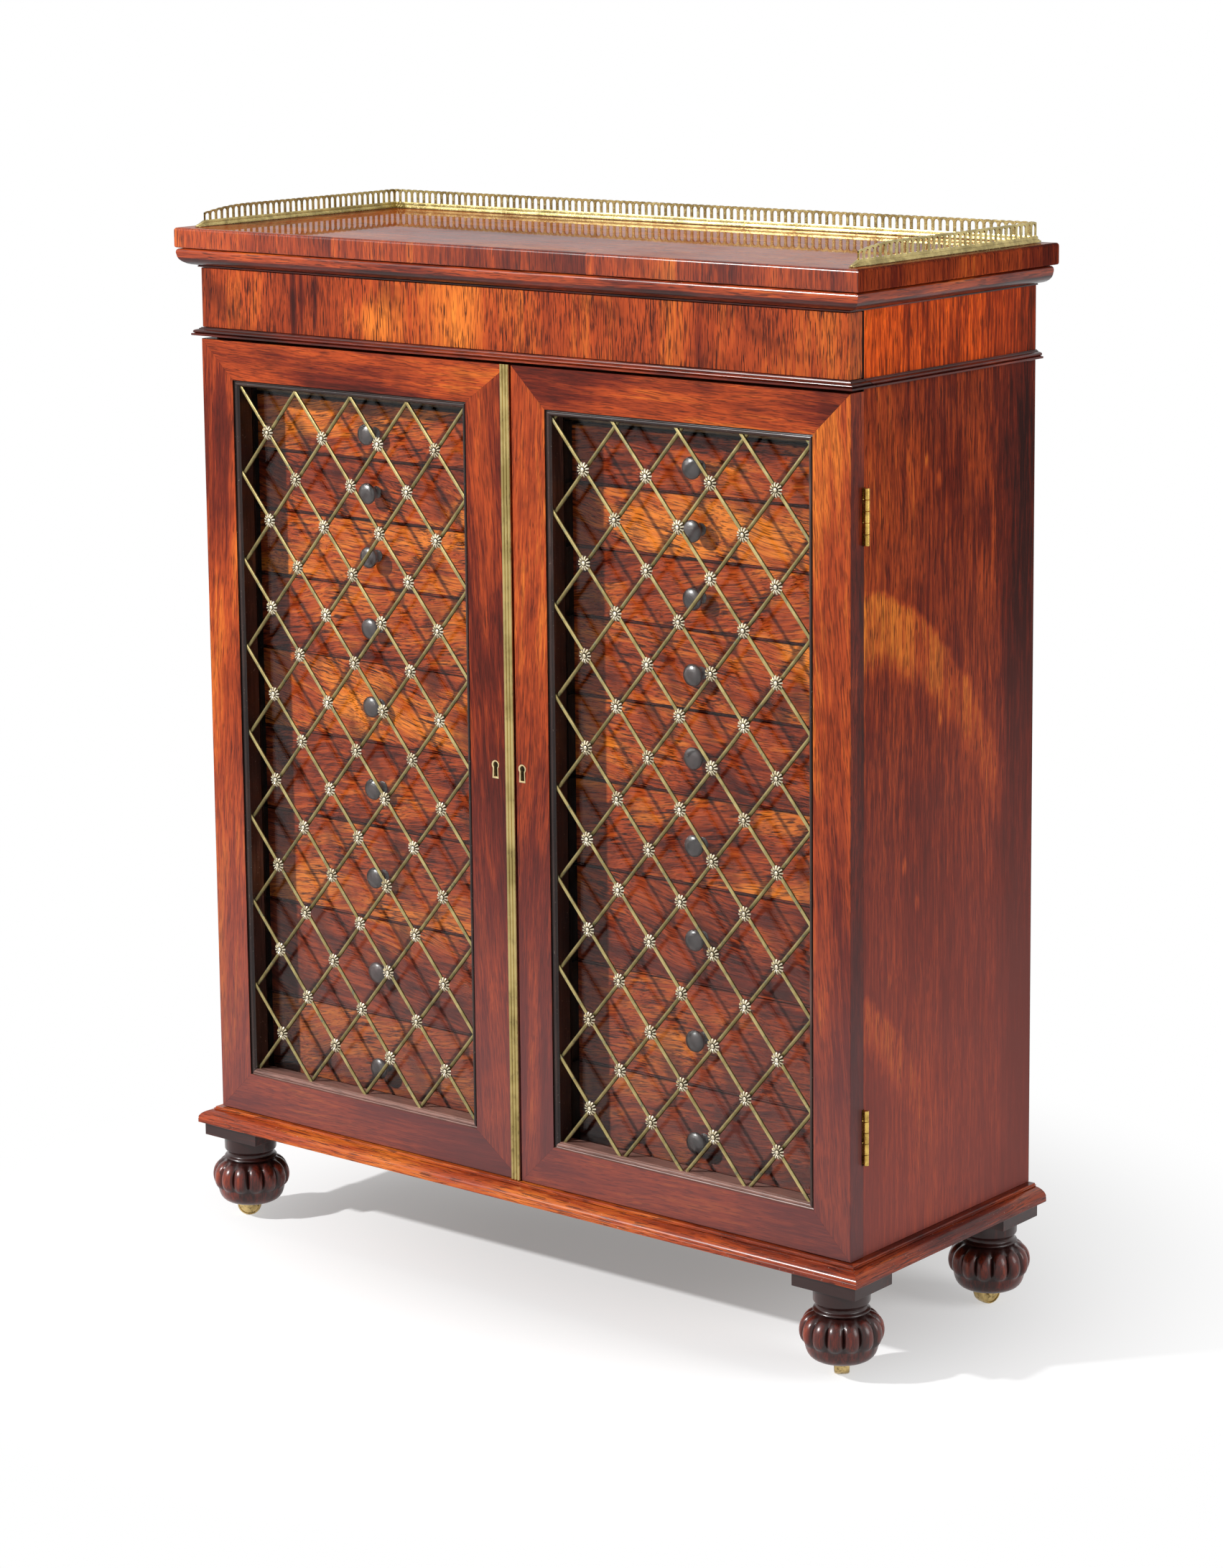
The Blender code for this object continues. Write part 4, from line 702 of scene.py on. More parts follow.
def dress_carcase():
    for side in SIDES.values():
        repaint("side_panel_" + side, SIDE_VENEER)
        repaint("glazing_bead_" + side, BLACKED["inside"])
        repaint("glass_pane_" + side, GLASS)
    repaint("centre_partition", BLACKED["inside"])
    repaint("bottom_board", BLACKED["inside"])
    repaint("dust_board", OLD_WOOD)
    repaint("back_panel", polished("back_boards", along="Z", colours=DULL_OAK, figure=10.0, lines=60.0, pores=0.7,
                                   rough=0.66, coat=0.0, marks=0.8, dust_and_light=0.5, bump=0.25))


SIDE_VENEER = side_material()
dress_carcase()

# %% [markdown]
# ## Mouldings that run round three sides
#
# The cornice, the base moulding and the waist are planed lengths, mitred at the two front corners. Each
# length is its own body, so the grain turns at the mitre. A profile point gives the half width at the
# side, the depth at the front and the height.

# %% Mouldings
MITRE_GAP = 0.00004


def three_runs(profile, tones, painted_light_and_shade=None):
    """The front, left and right lengths of one moulding, with their tones. Painted light and shade, if given, adds a
    tone for each point.
    """
    piece = Piece()
    painted_light_and_shade = (painted_light_and_shade or [0.0] * len(profile)) * 2
    front = [[(sign * (half - MITRE_GAP), at_depth(depth), z) for half, depth, z in profile] for sign in SIDES]
    piece.add(loft(front), "X", 0.0, [tones[0] + extra for extra in painted_light_and_shade])
    for sign in SIDES:
        near = [(sign * half, at_depth(depth + MITRE_GAP), z) for half, depth, z in profile]
        far = [(sign * half, at_depth(CASE_REAR), z) for half, depth, z in profile]
        piece.add(loft([near, far]), "Y", 0.8 * sign, [tones[1 if sign < 0 else 2] + extra for extra in painted_light_and_shade])
    return piece


def arc(start, end, turn_from, turn_to, steps):
    """Points on a quarter of an ellipse between two (share, z) corners, by sine and cosine."""
    points = []
    for i in range(steps + 1):
        angle = math.radians(turn_from + (turn_to - turn_from) * i / steps)
        points.append((start[0] + (end[0] - start[0]) * math.sin(angle),
                       start[1] + (end[1] - start[1]) * (1 - math.cos(angle))))
    return points


CORNICE_Z = (0.8253, 0.8412)
CORNICE_HALF, CORNICE_DEPTH = 0.3338, -0.0009
CORNICE_OUT = (0.0155, 0.0114)


def make_cornice():
    low, high = CORNICE_Z
    shares = [(0.0, low), (0.06, low + 0.0002), (0.06, low + 0.0012), (0.0, low + 0.0015)]
    shares += arc((0.0, low + 0.0017), (0.96, low + 0.0102), 8.0, 80.0, 10)
    shares += [(0.975, low + 0.0106), (0.992, low + 0.0114), (1.0, low + 0.0122), (0.998, low + 0.0130),
               (0.985, low + 0.0138), (0.96, low + 0.0145), (0.925, low + 0.0150), (0.87, low + 0.0154),
               (0.80, low + 0.0156), (0.70, high - 0.0001)]
    profile = [(CORNICE_HALF + CORNICE_OUT[0] * s, CORNICE_DEPTH - CORNICE_OUT[1] * s, z) for s, z in shares]
    profile += [(JOIN_X, 0.0172, high - 0.0001), (JOIN_X, 0.0172, low)]
    # Painted light and shade: points of the upper part, which faces up towards the lamp, are lighter, and those of the
    # lower part, which faces down, are darker.
    painted_light_and_shade = [0.26 if z > low + 0.0085 else -0.08 for half, depth, z in profile]
    piece = three_runs(profile, (-0.02, -0.10, -0.10), painted_light_and_shade)
    return piece.place("cornice_runs", "carcase", "wood_moulding", VENEER["moulding"], "cornice_moulding")


BASE_Z = (0.0834, 0.0969)
BASE_HALF, BASE_DEPTH, BASE_OUT = 0.338, -0.0025, 0.012


def make_base():
    low, high = BASE_Z
    shares = [(0.98, low), (1.0, low + 0.0003), (1.0, low + 0.0034), (0.975, low + 0.0038)]
    shares += [(math.cos(a), low + 0.0038 + 0.0072 * math.sin(a)) for a in [math.radians(8 * i) for i in range(1, 11)]]
    shares += [(0.13, low + 0.0112), (0.20, low + 0.0117), (0.20, low + 0.0121), (0.10, low + 0.0124),
               (0.10, low + 0.0131), (0.07, high)]
    profile = [(BASE_HALF + BASE_OUT * s, BASE_DEPTH - BASE_OUT * s, z) for s, z in shares]
    profile += [(0.325, 0.011, high), (0.325, 0.011, low)]
    piece = three_runs(profile, (0.12, 0.0, -0.10))
    piece.place("base_runs", "carcase", "wood_moulding", VENEER["base"], "base_moulding")
    inner = Piece().add(board((-0.3249, at_depth(0.0111), low), (0.3249, at_depth(CASE_REAR), high), 0.0003, 1))
    inner.place("base_board", "carcase", "wood_moulding", OLD_WOOD, "base_moulding")


def waist_points():
    """Proud distance and height above the underside, with a bead over a lip."""
    points = [(0.0066, 0.0), (0.0070, 0.0003), (0.0070, 0.0015), (0.0066, 0.00175)]
    for i in range(7):
        angle = math.radians(-70 + 140 * i / 6)
        points.append((0.0036 + 0.0023 * math.cos(angle), 0.0033 + 0.0015 * math.sin(angle)))
    return points + [(0.0023, 0.0052), (0.0021, 0.0059), (0.0010, 0.0062), (0.0010, 0.0066)]


WAIST_FOOT, WAIST_TALL = 0.7682, 0.0066
JOINT_DEPTHS = (0.0256, 0.0150)
JOINT_GAP = 0.0003


def joint_depth(share):
    """Depth of the slanted joint at a share of the moulding's height."""
    return JOINT_DEPTHS[0] + (JOINT_DEPTHS[1] - JOINT_DEPTHS[0]) * share


def make_waist():
    """The side lengths stop at a slanted joint, in front of which the moulding moves with the drawer."""
    profile = [(JOIN_X + spread, WAIST_FOOT + z) for spread, z in waist_points()]
    profile += [(JOIN_X, WAIST_FOOT + WAIST_TALL), (JOIN_X, WAIST_FOOT)]
    for sign, side in SIDES.items():
        joint = [joint_depth((z - WAIST_FOOT) / WAIST_TALL) + JOINT_GAP for half, z in profile]
        near = [(sign * half, at_depth(depth), z) for (half, z), depth in zip(profile, joint)]
        far = [(sign * half, at_depth(CASE_REAR), z) for half, z in profile]
        piece = Piece().add(loft([near, far]), "Y", 0.5 * sign, -0.05)
        piece.place("waist_side_" + side, "carcase", "wood_moulding", VENEER["moulding"], "waist_moulding_" + side)


make_cornice()
make_base()
make_waist()
print("mouldings made")

# %% [markdown]
# ## Top board
#
# The edge is cross-banded: short pieces of veneer, each cut across the grain, so the fibres stand
# upright and the joints show as changes of tone. The arrises are worn round. The field is one polished
# sheet that mirrors the gallery.

# %% Top board
TOP_HALF, TOP_FRONT, TOP_BACK = 0.350, -0.013, 0.255
TOP_Z = (0.8415, 0.8584)
BAND = 0.0030
BAND_TONES = (0.12, -0.02, 0.16, 0.05, -0.06, 0.20, 0.02, 0.10)


def band_section():
    """Points of the edge strip from the inside bottom round the worn edge to the inside top."""
    low, high = TOP_Z
    points = [(BAND, low), (0.0016, low), (0.0007, low + 0.0003), (0.0002, low + 0.0009), (0.0, low + 0.0018)]
    points += [(0.0, high - 0.0026), (0.0002, high - 0.0015), (0.0007, high - 0.0007), (0.0015, high - 0.0002)]
    points += [(0.0025, high), (BAND, high)]
    return [(-inward, z) for inward, z in points]


def mitred(place, out, corner):
    """A strip's end follows the mitre where it lies at a corner of the board."""
    return place - math.copysign(-out, place) if corner else place


def make_top():
    edge, flanks = Piece(), Piece()
    cuts = (-0.350, -0.262, -0.171, -0.083, 0.002, 0.094, 0.183, 0.268, 0.350)
    for i, ends in enumerate(zip(cuts, cuts[1:])):
        rings = [[(mitred(x, out, abs(x) > 0.349), at_depth(TOP_FRONT - out), z) for out, z in band_section()]
                 for x in ends]
        edge.add(loft(rings), "Z", 0.31 * i, BAND_TONES[i] + 0.03)
    cuts = (TOP_FRONT, 0.074, 0.166, TOP_BACK)
    for sign in SIDES:
        for i, ends in enumerate(zip(cuts, cuts[1:])):
            rings = [[(sign * (TOP_HALF + out), at_depth(depth - out if depth == TOP_FRONT else depth), z)
                      for out, z in band_section()] for depth in ends]
            flanks.add(loft(rings), "Z", 0.23 * i + 2.0 * sign, (0.02, 0.08, -0.04)[i])
    edge.place("top_edge", "carcase", "wood_veneer", VENEER["band"], "top_board")
    flanks.place("top_edge_sides", "carcase", "wood_veneer", VENEER["band_side"], "top_board")
    low = (-TOP_HALF + BAND, at_depth(TOP_FRONT + BAND), TOP_Z[0])
    high = (TOP_HALF - BAND, at_depth(TOP_BACK), TOP_Z[1])
    field = Piece().add(board(low, high, 0.0001, 1), "X", 0.4, 0.0)
    field.place("top_field", "carcase", "wood_veneer", VENEER["top"], "top_board")


make_top()
print("top board made of", len(BAND_TONES) + 6, "strips and one field")

# %% [markdown]
# ## Pierced gallery
#
# The gallery was sawn or stamped from brass strip: a row of arched slots under a scalloped crest, soldered
# into a stepped foot. One bay is modelled, and a node tree repeats it and sweeps its front end down.

# %% Gallery bay and run
BAY_PITCH, BAY_SHEET, BAY_BAR = 0.0069, 0.0012, 0.0028
GALLERY_Z, GALLERY_TALL, GALLERY_FOOT = 0.8587, 0.0165, 0.0050
CREST_DIP, SWEEP_DROP, SWEEP_LENGTH = 0.0009, 0.0048, 0.05


def geometry_tree(name, inputs):
    """An effect that takes a mesh and further inputs, and gives a mesh."""
    return effect(name, [("Geometry", "Geometry", None)] + inputs, [("Geometry", "Geometry")], "Geometry")


def grow(name, tree, start, **values):
    """Runs a geometry tree on a mesh and returns a plain mesh."""
    thing = loose_object(name, start)
    modifier = thing.modifiers.new(name, "NODES")
    modifier.node_group = tree
    for item in tree.interface.items_tree:
        key = item.name.replace(" ", "_")
        if item.item_type == "SOCKET" and item.in_out == "INPUT" and key in values:
            modifier[item.identifier] = values[key]
    bpy.context.view_layer.update()
    mesh = baked(thing)
    mesh.name = name
    bpy.data.objects.remove(thing)
    return mesh


def gallery_bay():
    """One slot with half a bar on each side. The bay runs along X from 0, with its foot at z 0."""
    left, right, middle = BAY_BAR / 2, BAY_PITCH - BAY_BAR / 2, BAY_PITCH / 2
    reach = middle - left
    foot = GALLERY_FOOT * 0.7
    spring = GALLERY_TALL - 0.0022 - reach
    inner = [(left, foot), (left, spring)]
    inner += [(middle - reach * math.cos(a), spring + reach * math.sin(a))
              for a in [math.radians(36 * i) for i in range(1, 5)]]
    inner += [(right, spring), (right, foot)]
    crest = [GALLERY_TALL - CREST_DIP * abs(math.cos(math.pi * x)) ** 1.5 for x in (0.0, 0.33, 0.67, 1.0)]
    outer = [(0.0, foot), (0.0, spring), (0.0, crest[0]), (BAY_PITCH * 0.33, crest[1]),
             (BAY_PITCH * 0.67, crest[2]), (BAY_PITCH, crest[3]), (BAY_PITCH, spring), (BAY_PITCH, foot)]
    softer = []
    for x, z in inner:
        away = Vector((x - middle, max(0.0, z - spring)))
        softer.append((x + 0.0003 * away.normalized().x, z + 0.0003 * away.normalized().y))
    half = BAY_SHEET / 2
    rows = [(outer, -half), (softer, -half), (inner, -half + 0.0003), (inner, half - 0.0003), (softer, half),
            (outer, half)]
    points = [(x, y, z) for row, y in rows for x, z in row]
    count = len(inner)
    faces = []
    for row in range(len(rows) - 1):
        for i in range(count - 1):
            a = row * count + i
            faces.append((a, a + 1, a + 1 + count, a + count))
    last = (len(rows) - 1) * count
    faces += [(i, last + i, last + i + 1, i + 1) for i in (2, 3, 4)]
    return new_mesh("gallery_bay", points, faces)


def gallery_run_tree():
    tree, g, given, made = geometry_tree("gallery run", [
        ("Bay", "Object", None), ("Bays", "Int", 10), ("Pitch", "Float", 0.0069), ("Sweep Drop", "Float", 0.0),
        ("Sweep Length", "Float", 0.05), ("Height", "Float", 0.0165), ("Material", "Material", None)])
    step = g.join(given["Pitch"], 0.0, 0.0)
    line = g.put("GeometryNodeMeshLine", {"Count": given["Bays"], "Offset": step}, mode="OFFSET").outputs[0]
    bay = g.put("GeometryNodeObjectInfo", {"Object": given["Bay"]}).outputs["Geometry"]
    placed = g.put("GeometryNodeInstanceOnPoints", {"Points": line, "Instance": bay}).outputs[0]
    solid = g.put("GeometryNodeRealizeInstances", {"Geometry": placed}).outputs[0]
    solid = g.put("GeometryNodeMergeByDistance", {"Geometry": solid, "Distance": 0.00002}).outputs[0]
    x, y, z = g.split(g.put("GeometryNodeInputPosition").outputs[0])
    share = g.math("MAXIMUM", g.math("SUBTRACT", 1.0, g.math("DIVIDE", x, given["Sweep Length"])), 0.0)
    fall = g.times(g.times(share, share), given["Sweep Drop"])
    fall = g.times(fall, g.math("DIVIDE", z, given["Height"]))
    drop = g.join(0.0, 0.0, g.times(fall, -1.0))
    swept = g.put("GeometryNodeSetPosition", {"Geometry": solid, "Offset": drop}).outputs[0]
    done = g.put("GeometryNodeSetMaterial", {"Geometry": swept, "Material": given["Material"]}).outputs[0]
    g.feed(made["Geometry"], done)
    return tree


GALLERY_RUN = gallery_run_tree()
WALL_X, WALL_BACK, WALL_START, NOSE = 0.335, 0.245, 0.008, -0.002


def make_gallery():
    bay = loose_object("gallery_bay", gallery_bay())
    quarter = Matrix.Rotation(math.pi / 2, 4, "Z")
    back = Matrix.Translation((-WALL_X, at_depth(WALL_BACK), GALLERY_Z))
    lengths = {"back": (2 * WALL_X, 0.0, back)}
    for sign, side in SIDES.items():
        turned = Matrix.Translation((sign * WALL_X, at_depth(WALL_START), GALLERY_Z)) @ quarter
        lengths[side] = (WALL_BACK - WALL_START, SWEEP_DROP, turned)
    for name, (length, drop, matrix) in lengths.items():
        bays = round(length / BAY_PITCH)
        pitch = length / bays
        start = bpy.data.meshes.new("start")
        mesh = grow("gallery_" + name, GALLERY_RUN, start, Bay=bay, Bays=bays, Pitch=BAY_PITCH, Sweep_Drop=drop,
                    Sweep_Length=SWEEP_LENGTH, Height=GALLERY_TALL, Material=BRASS["gallery"])
        mesh.transform(matrix @ Matrix.Diagonal((pitch / BAY_PITCH, 1.0, 1.0, 1.0)))
        place("gallery_" + name, mesh, "carcase", "brass", "brass_gallery")
    bpy.data.objects.remove(bay)


def make_gallery_foot():
    """The stepped foot runs round three sides and thins to a tip at each front end."""
    section = [(1.0, 0.0), (1.0, 0.0013), (0.90, 0.0017), (0.70, 0.0018), (0.66, 0.0024), (0.56, 0.0027),
               (0.42, 0.0028), (0.40, 0.0044), (0.32, 0.0050)]
    half = 0.0030
    ring_shape = [(-out * half, z) for out, z in section] + [(out * half, z) for out, z in reversed(section)]
    tip = ((0.0, 0.22, 0.40), (0.15, 0.30, 0.85), (0.5, 0.55, 1.0), (0.85, 0.88, 1.0), (1.0, 1.0, 1.0))
    path = [(-1, 0, NOSE + (WALL_START - NOSE) * share, squash, narrow) for share, squash, narrow in tip]
    path.append((-1, 1, WALL_BACK, 1.0, 1.0))
    path += [(1, turn, depth, squash, narrow) for _, turn, depth, squash, narrow in reversed(path)]
    rings = []
    for x_sign, turn, depth, squash, narrow in path:
        rings.append([(x_sign * (WALL_X + out * narrow), at_depth(depth + turn * out), GALLERY_Z + z * squash)
                      for out, z in ring_shape])
    piece = Piece().add(loft(rings))
    piece.place("gallery_foot", "carcase", "brass", BRASS["gallery"], "brass_gallery", crease=40.0)


make_gallery()
make_gallery_foot()
print("gallery bays along the back:", round(2 * WALL_X / BAY_PITCH), "and along a side:",
      round((WALL_BACK - WALL_START) / BAY_PITCH))

# %% [markdown]
# ## Frieze drawer
#
# The frieze is the front of a hidden drawer. Its veneer stands upright, with dark streaks about a sixth
# of the way along and an orange cloud right of them. The front length of the waist moulding is glued to
# it and turns the corner as far as a slanted joint.

# %% Frieze drawer
FRIEZE_FACE, FRIEZE_REAR = 0.0007, 0.0167
FRIEZE_Z = (0.7751, 0.8248)
FRIEZE_CLOUDS = (  # x, z, half width, half height, strength
    (-0.140, 0.790, 0.050, 0.030, 0.18), (-0.285, 0.800, 0.05, 0.08, 0.16), (-0.040, 0.800, 0.070, 0.080, 0.16),
    (-0.228, 0.795, 0.0050, 0.06, -0.42), (-0.219, 0.812, 0.0035, 0.04, -0.30), (-0.204, 0.805, 0.0030, 0.03, -0.30),
    (-0.205, 0.812, 0.020, 0.030, -0.14), (0.195, 0.800, 0.016, 0.080, -0.18), (0.275, 0.800, 0.050, 0.080, -0.06))
FRIEZE_PATCHES = [((x, FACE_Y, z), (wide, 0.4, tall), strength) for x, z, wide, tall, strength in FRIEZE_CLOUDS]
FRIEZE_PATCHES.insert(7, ((0.0, at_depth(FRIEZE_REAR), 0.8), (5.0, 0.0011, 5.0), -0.9))


def make_frieze():
    veneer = polished("frieze_front_veneer", figure=13.0, lines=95.0, lift=0.35, mix=(0.26, 0.05, 0.14),
                      patches=FRIEZE_PATCHES, flecks=(0.74, 0.06), pores=0.85)
    solid = board((-0.333, at_depth(FRIEZE_FACE), FRIEZE_Z[0]), (0.333, at_depth(FRIEZE_REAR), FRIEZE_Z[1]), 0.0006, 2)
    front = Piece().add(solid, "Z", 0.6)
    front.place("frieze_front", "frieze_drawer", "wood_veneer", veneer, "frieze_drawer")
    profile, ends = [], []
    for spread, z in waist_points() + [(-0.0030, 0.0067), (-0.0030, 0.0)]:
        profile.append((CASE_HALF + spread, FRIEZE_FACE - spread, WAIST_FOOT + min(z, 0.0068)))
        ends.append(joint_depth(min(1.0, z / WAIST_TALL)))
    waist = Piece()
    for sign in SIDES:
        side_profile = [(max(half, JOIN_X), depth, z) for half, depth, z in profile]
        near = [(sign * half, at_depth(depth + MITRE_GAP), z) for half, depth, z in profile]
        far = [(sign * half, at_depth(end), z) for (half, depth, z), end in zip(side_profile, ends)]
        waist.add(loft([near, far]), "Y", 0.8 * sign, 0.0)
    waist.add(loft([[(sign * (half - MITRE_GAP), at_depth(depth), z) for half, depth, z in profile]
                    for sign in SIDES]), "X", 0.0, 0.02)
    waist.place("frieze_waist", "frieze_drawer", "wood_moulding", VENEER["moulding"], "frieze_drawer")
    low, high, back = 0.7663, 0.8228, FRIEZE_FACE + 0.215
    box = Piece()
    for (x0, x1), (near, far), (z0, z1), arris, steps, grain, shift in (
            ((-0.3075, -0.2995), (0.0168, back), (low, high), 0.0008, 2, "Y", 0),
            ((0.2995, 0.3075), (0.0168, back), (low, high), 0.0008, 2, "Y", 1),
            ((-0.2993, 0.2993), (back - 0.008, back), (low, high), 0.0008, 2, "X", 2),
            ((-0.2993, 0.2993), (0.0168, back - 0.0082), (low, low + 0.004), 0.0003, 1, "X", 4.0),
            ((-0.2993, 0.2993), (0.0165, 0.0247), (low + 0.0042, high), 0.0005, 1, "X", 5.0)):
        box.add(board((x0, at_depth(near), z0), (x1, at_depth(far), z1), arris, steps), grain, shift)
    box.place("frieze_box", "frieze_drawer", "wood_drawer", OAK_BOX, "frieze_drawer")


OAK_BOX = polished("drawer_lining", colours=DULL_OAK, lift=0.10, pores=0.6, rough=0.6, coat=0.0, marks=0.5, dust_and_light=0.3)
make_frieze()
print("frieze drawer made, front", FRIEZE_Z[1] - FRIEZE_Z[0], "m tall")

# %% [markdown]
# ## Doors
#
# Each door is a mitred frame of two stiles and two rails, with an ebonised slip inside it. The hinge
# leaves and the keyhole are cut into the stiles, as they are on the real door.

# %% Door frames and slips
KEYHOLE_Z = 0.4375
KEYHOLE_X = {-1: -0.0159, 1: 0.0122}
LEAF_WIDE, LEAF_THICK, HINGE_TALL, KNUCKLE_R, PIN_X = 0.0180, 0.0015, 0.0436, 0.0022, 0.3365
LEAF_EDGE = PIN_X - KNUCKLE_R - 0.0006 - LEAF_WIDE
HINGE_FEET = {"lower": 0.1710, "upper": 0.6500}
RAIL_LOW, RAIL_HIGH, HINGE_STILE = 0.0345, 0.0330, 0.0348
MEETING_STILE = {-1: 0.0462, 1: 0.0341}
DOOR_THICK, SLIP = 0.017, 0.005


def door_box(sign):
    low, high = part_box("door_frame_" + SIDES[sign])
    return low.x, high.x, low.z, high.z


def door_widths(sign):
    pair = (HINGE_STILE, MEETING_STILE[sign])
    return (*(pair if sign < 0 else pair[::-1]), RAIL_LOW, RAIL_HIGH)


def door_opening(sign, inset=0.0):
    x0, x1, z0, z1 = door_box(sign)
    left, right, bottom, top = door_widths(sign)
    return x0 + left + inset, x1 - right - inset, z0 + bottom + inset, z1 - top - inset


def frame_member(side, span, widths, profile, gap=0.0):
    """One mitred member. A profile point is (share of the width, extra width, depth)."""
    x0, x1, z0, z1 = span
    rings = [[], []]
    for share, extra, depth in profile:
        left, right = x0 + share * widths[0] + extra, x1 - share * widths[1] - extra
        low, high = z0 + share * widths[2] + extra, z1 - share * widths[3] - extra
        ends = {"left": ((left, low + gap), (left, high - gap)), "right": ((right, low + gap), (right, high - gap)),
                "bottom": ((left + gap, low), (right - gap, low)), "top": ((left + gap, high), (right - gap, high))}
        for ring, (x, z) in zip(rings, ends[side]):
            ring.append((x, at_depth(depth), z))
    return loft(rings)


def keyhole(x, inset, depth):
    """Outline of a keyhole: a round head and a flared foot."""
    radius, foot = 0.0040 - inset, 0.0034 - inset
    head = KEYHOLE_Z + 0.0036
    turns = [math.radians(-45 + 270 * i / 14) for i in range(15)]
    points = [(radius * math.cos(a), head + radius * math.sin(a)) for a in turns]
    points += [(-foot, KEYHOLE_Z - 0.0076 + inset), (foot, KEYHOLE_Z - 0.0076 + inset)]
    return [(x + across, at_depth(depth), z) for across, z in points]


STILE_SECTION = [(0, 0.0, DOOR_THICK), (0, 0.0, 0.0006), (0, 0.0002, 0.0002), (0, 0.0006, 0.0), (1, -0.0004, 0.0),
                 (1, -0.0001, 0.0001), (1, 0.0, 0.0004), (1, 0.0, DOOR_THICK)]
SLIP_SECTION = [(0.0001, 0.0003), (0.0003, 0.0019), (0.0009, 0.0023), (0.0014, 0.0021), (0.0017, 0.0013),
                (0.0022, 0.0009), (0.0029, 0.0008), (0.0036, 0.0010), (0.0041, 0.0015), (0.0044, 0.0023),
                (0.0050, 0.0029), (0.0050, 0.0169), (0.0001, 0.0169)]
MEMBER_TONES = {-1: {"left": 0.0, "right": -0.27, "bottom": -0.12, "top": -0.12},
                1: {"left": -0.04, "right": 0.08, "bottom": -0.20, "top": -0.10}}
# Painted shade: this tone darkens the outer edge of each hinge stile.
PAINTED_EDGE_SHADE = -0.28


def make_frame(sign):
    side, body = SIDES[sign], "door_" + SIDES[sign]
    span, widths = door_box(sign), door_widths(sign)
    frame = Piece()
    for member, tone in MEMBER_TONES[sign].items():
        solid = frame_member(member, span, widths, STILE_SECTION, 0.00005)
        upright, at_hinge = member in SIDES.values(), member == side
        cutters = []
        if at_hinge:
            edge, inner = sign * (span[1] if sign > 0 else -span[0]), LEAF_EDGE - 0.0003
            xs = sorted((sign * inner, edge + sign * 0.005))
            for foot in HINGE_FEET.values():
                cutters.append(board((xs[0], at_depth(DOOR_THICK - LEAF_THICK - 0.0003), foot - 0.0003),
                                     (xs[1], at_depth(DOOR_THICK + 0.005), foot + HINGE_TALL + 0.0003), 0.0001, 1))
        elif upright:
            cutters.append(loft([keyhole(KEYHOLE_X[sign], -0.00005, depth) for depth in (-0.005, 0.0058)]))
        solid = carve(solid, cutters) if cutters else solid
        tilt = {"left": 0.05, "right": -0.06, "bottom": 0.03, "top": -0.03}[member]
        along = Vector((tilt, 0, 1)).normalized() if upright else Vector((1, 0, tilt)).normalized()
        across = Vector((0, -1, 0)).cross(along)
        # Points on the outer hinge edge get the painted shade.
        edge = max(abs(point.x) for point in solid[0]) - 0.0001 if at_hinge else 9.0
        tones = [tone + (PAINTED_EDGE_SHADE if abs(point.x) > edge else 0.0) for point in solid[0]]
        frame.add(solid, (along, across), 0.7 * sign + 0.33 * len(member), tones)
    frame.place("frame_" + side, body, "wood_veneer", VENEER["door"], "door_frame_" + side)
    slip = Piece()
    opening = door_opening(sign)
    for member in MEMBER_TONES[sign]:
        section = [(0, extra, depth) for extra, depth in SLIP_SECTION]
        grain = "Z" if member in SIDES.values() else "X"
        # The bottom slip is lighter: partly dust, partly painted light on its top face, which catches the lamp from
        # above.
        dust_and_light = 0.42 if member == "bottom" else 0.0
        slip.add(frame_member(member, opening, (0, 0, 0, 0), section, 0.00003), grain, 0.2 * len(member), dust_and_light)
    slip.place("slip_" + side, body, "wood_moulding", BLACKED["slip"], "door_frame_" + side)


def make_escutcheon(sign):
    steps = [(0.0, 0.0057), (0.0, 0.0001), (0.0002, -0.0003), (0.0011, -0.0003), (0.0015, 0.0001), (0.0015, 0.0057)]
    rim = loft([keyhole(KEYHOLE_X[sign], inset, depth) for inset, depth in steps], closed_path=True)
    node, body = "door_frame_" + SIDES[sign], "door_" + SIDES[sign]
    Piece().add(rim).place("escutcheon_" + SIDES[sign], body, "brass", BRASS["rim"], node)
    # A dark plug at the bottom of the keyhole, painted shade for the depth of the hole.
    dark = loft([keyhole(KEYHOLE_X[sign], 0.0016, depth) for depth in (0.0057, 0.0030)])
    Piece().add(dark, "Z", 0.0, -0.5).place("keyhole_" + SIDES[sign], body, "wood_moulding", BLACKED["slip"], node)


for door_sign in SIDES:
    make_frame(door_sign)
    make_escutcheon(door_sign)

# %% [markdown]
# ## Lattice and rosettes
#
# The lattice is cast or rolled half-round brass rod, crossed and riveted, with a petalled rosette on
# every rivet. One set of rods lies over the other. The rosettes are one model, set out on the crossings
# by a node tree that gives each its own small turn.

# %% Lattice and rosettes
COLUMNS, ROWS = 8, 16
ROD_HALF = 0.0016
ROD_SECTION = ((-1.0, 1.0), (-1.0, 0.52), (-0.80, 0.20), (-0.38, 0.0), (0.38, 0.0), (0.80, 0.20), (1.0, 0.52),
               (1.0, 1.0))
ROD_TALL = 0.0015
ROD_FACE = {1: 0.0049, -1: 0.0036}
LATTICE_DROP = {-1: 0.0, 1: 0.0030}
PETALS = 12


def lattice_grid(sign):
    x0, x1, z0, z1 = door_opening(sign, SLIP)
    return x0, z0 - LATTICE_DROP[sign], (x1 - x0) / COLUMNS, (z1 - z0) / ROWS


def clipped(point, way, low, high):
    """Both ends of a line inside a rectangle."""
    near, far = -9.0, 9.0
    for i in (0, 1):
        pair = sorted(((low[i] - point[i]) / way[i], (high[i] - point[i]) / way[i]))
        near, far = max(near, pair[0]), min(far, pair[1])
    return near, far


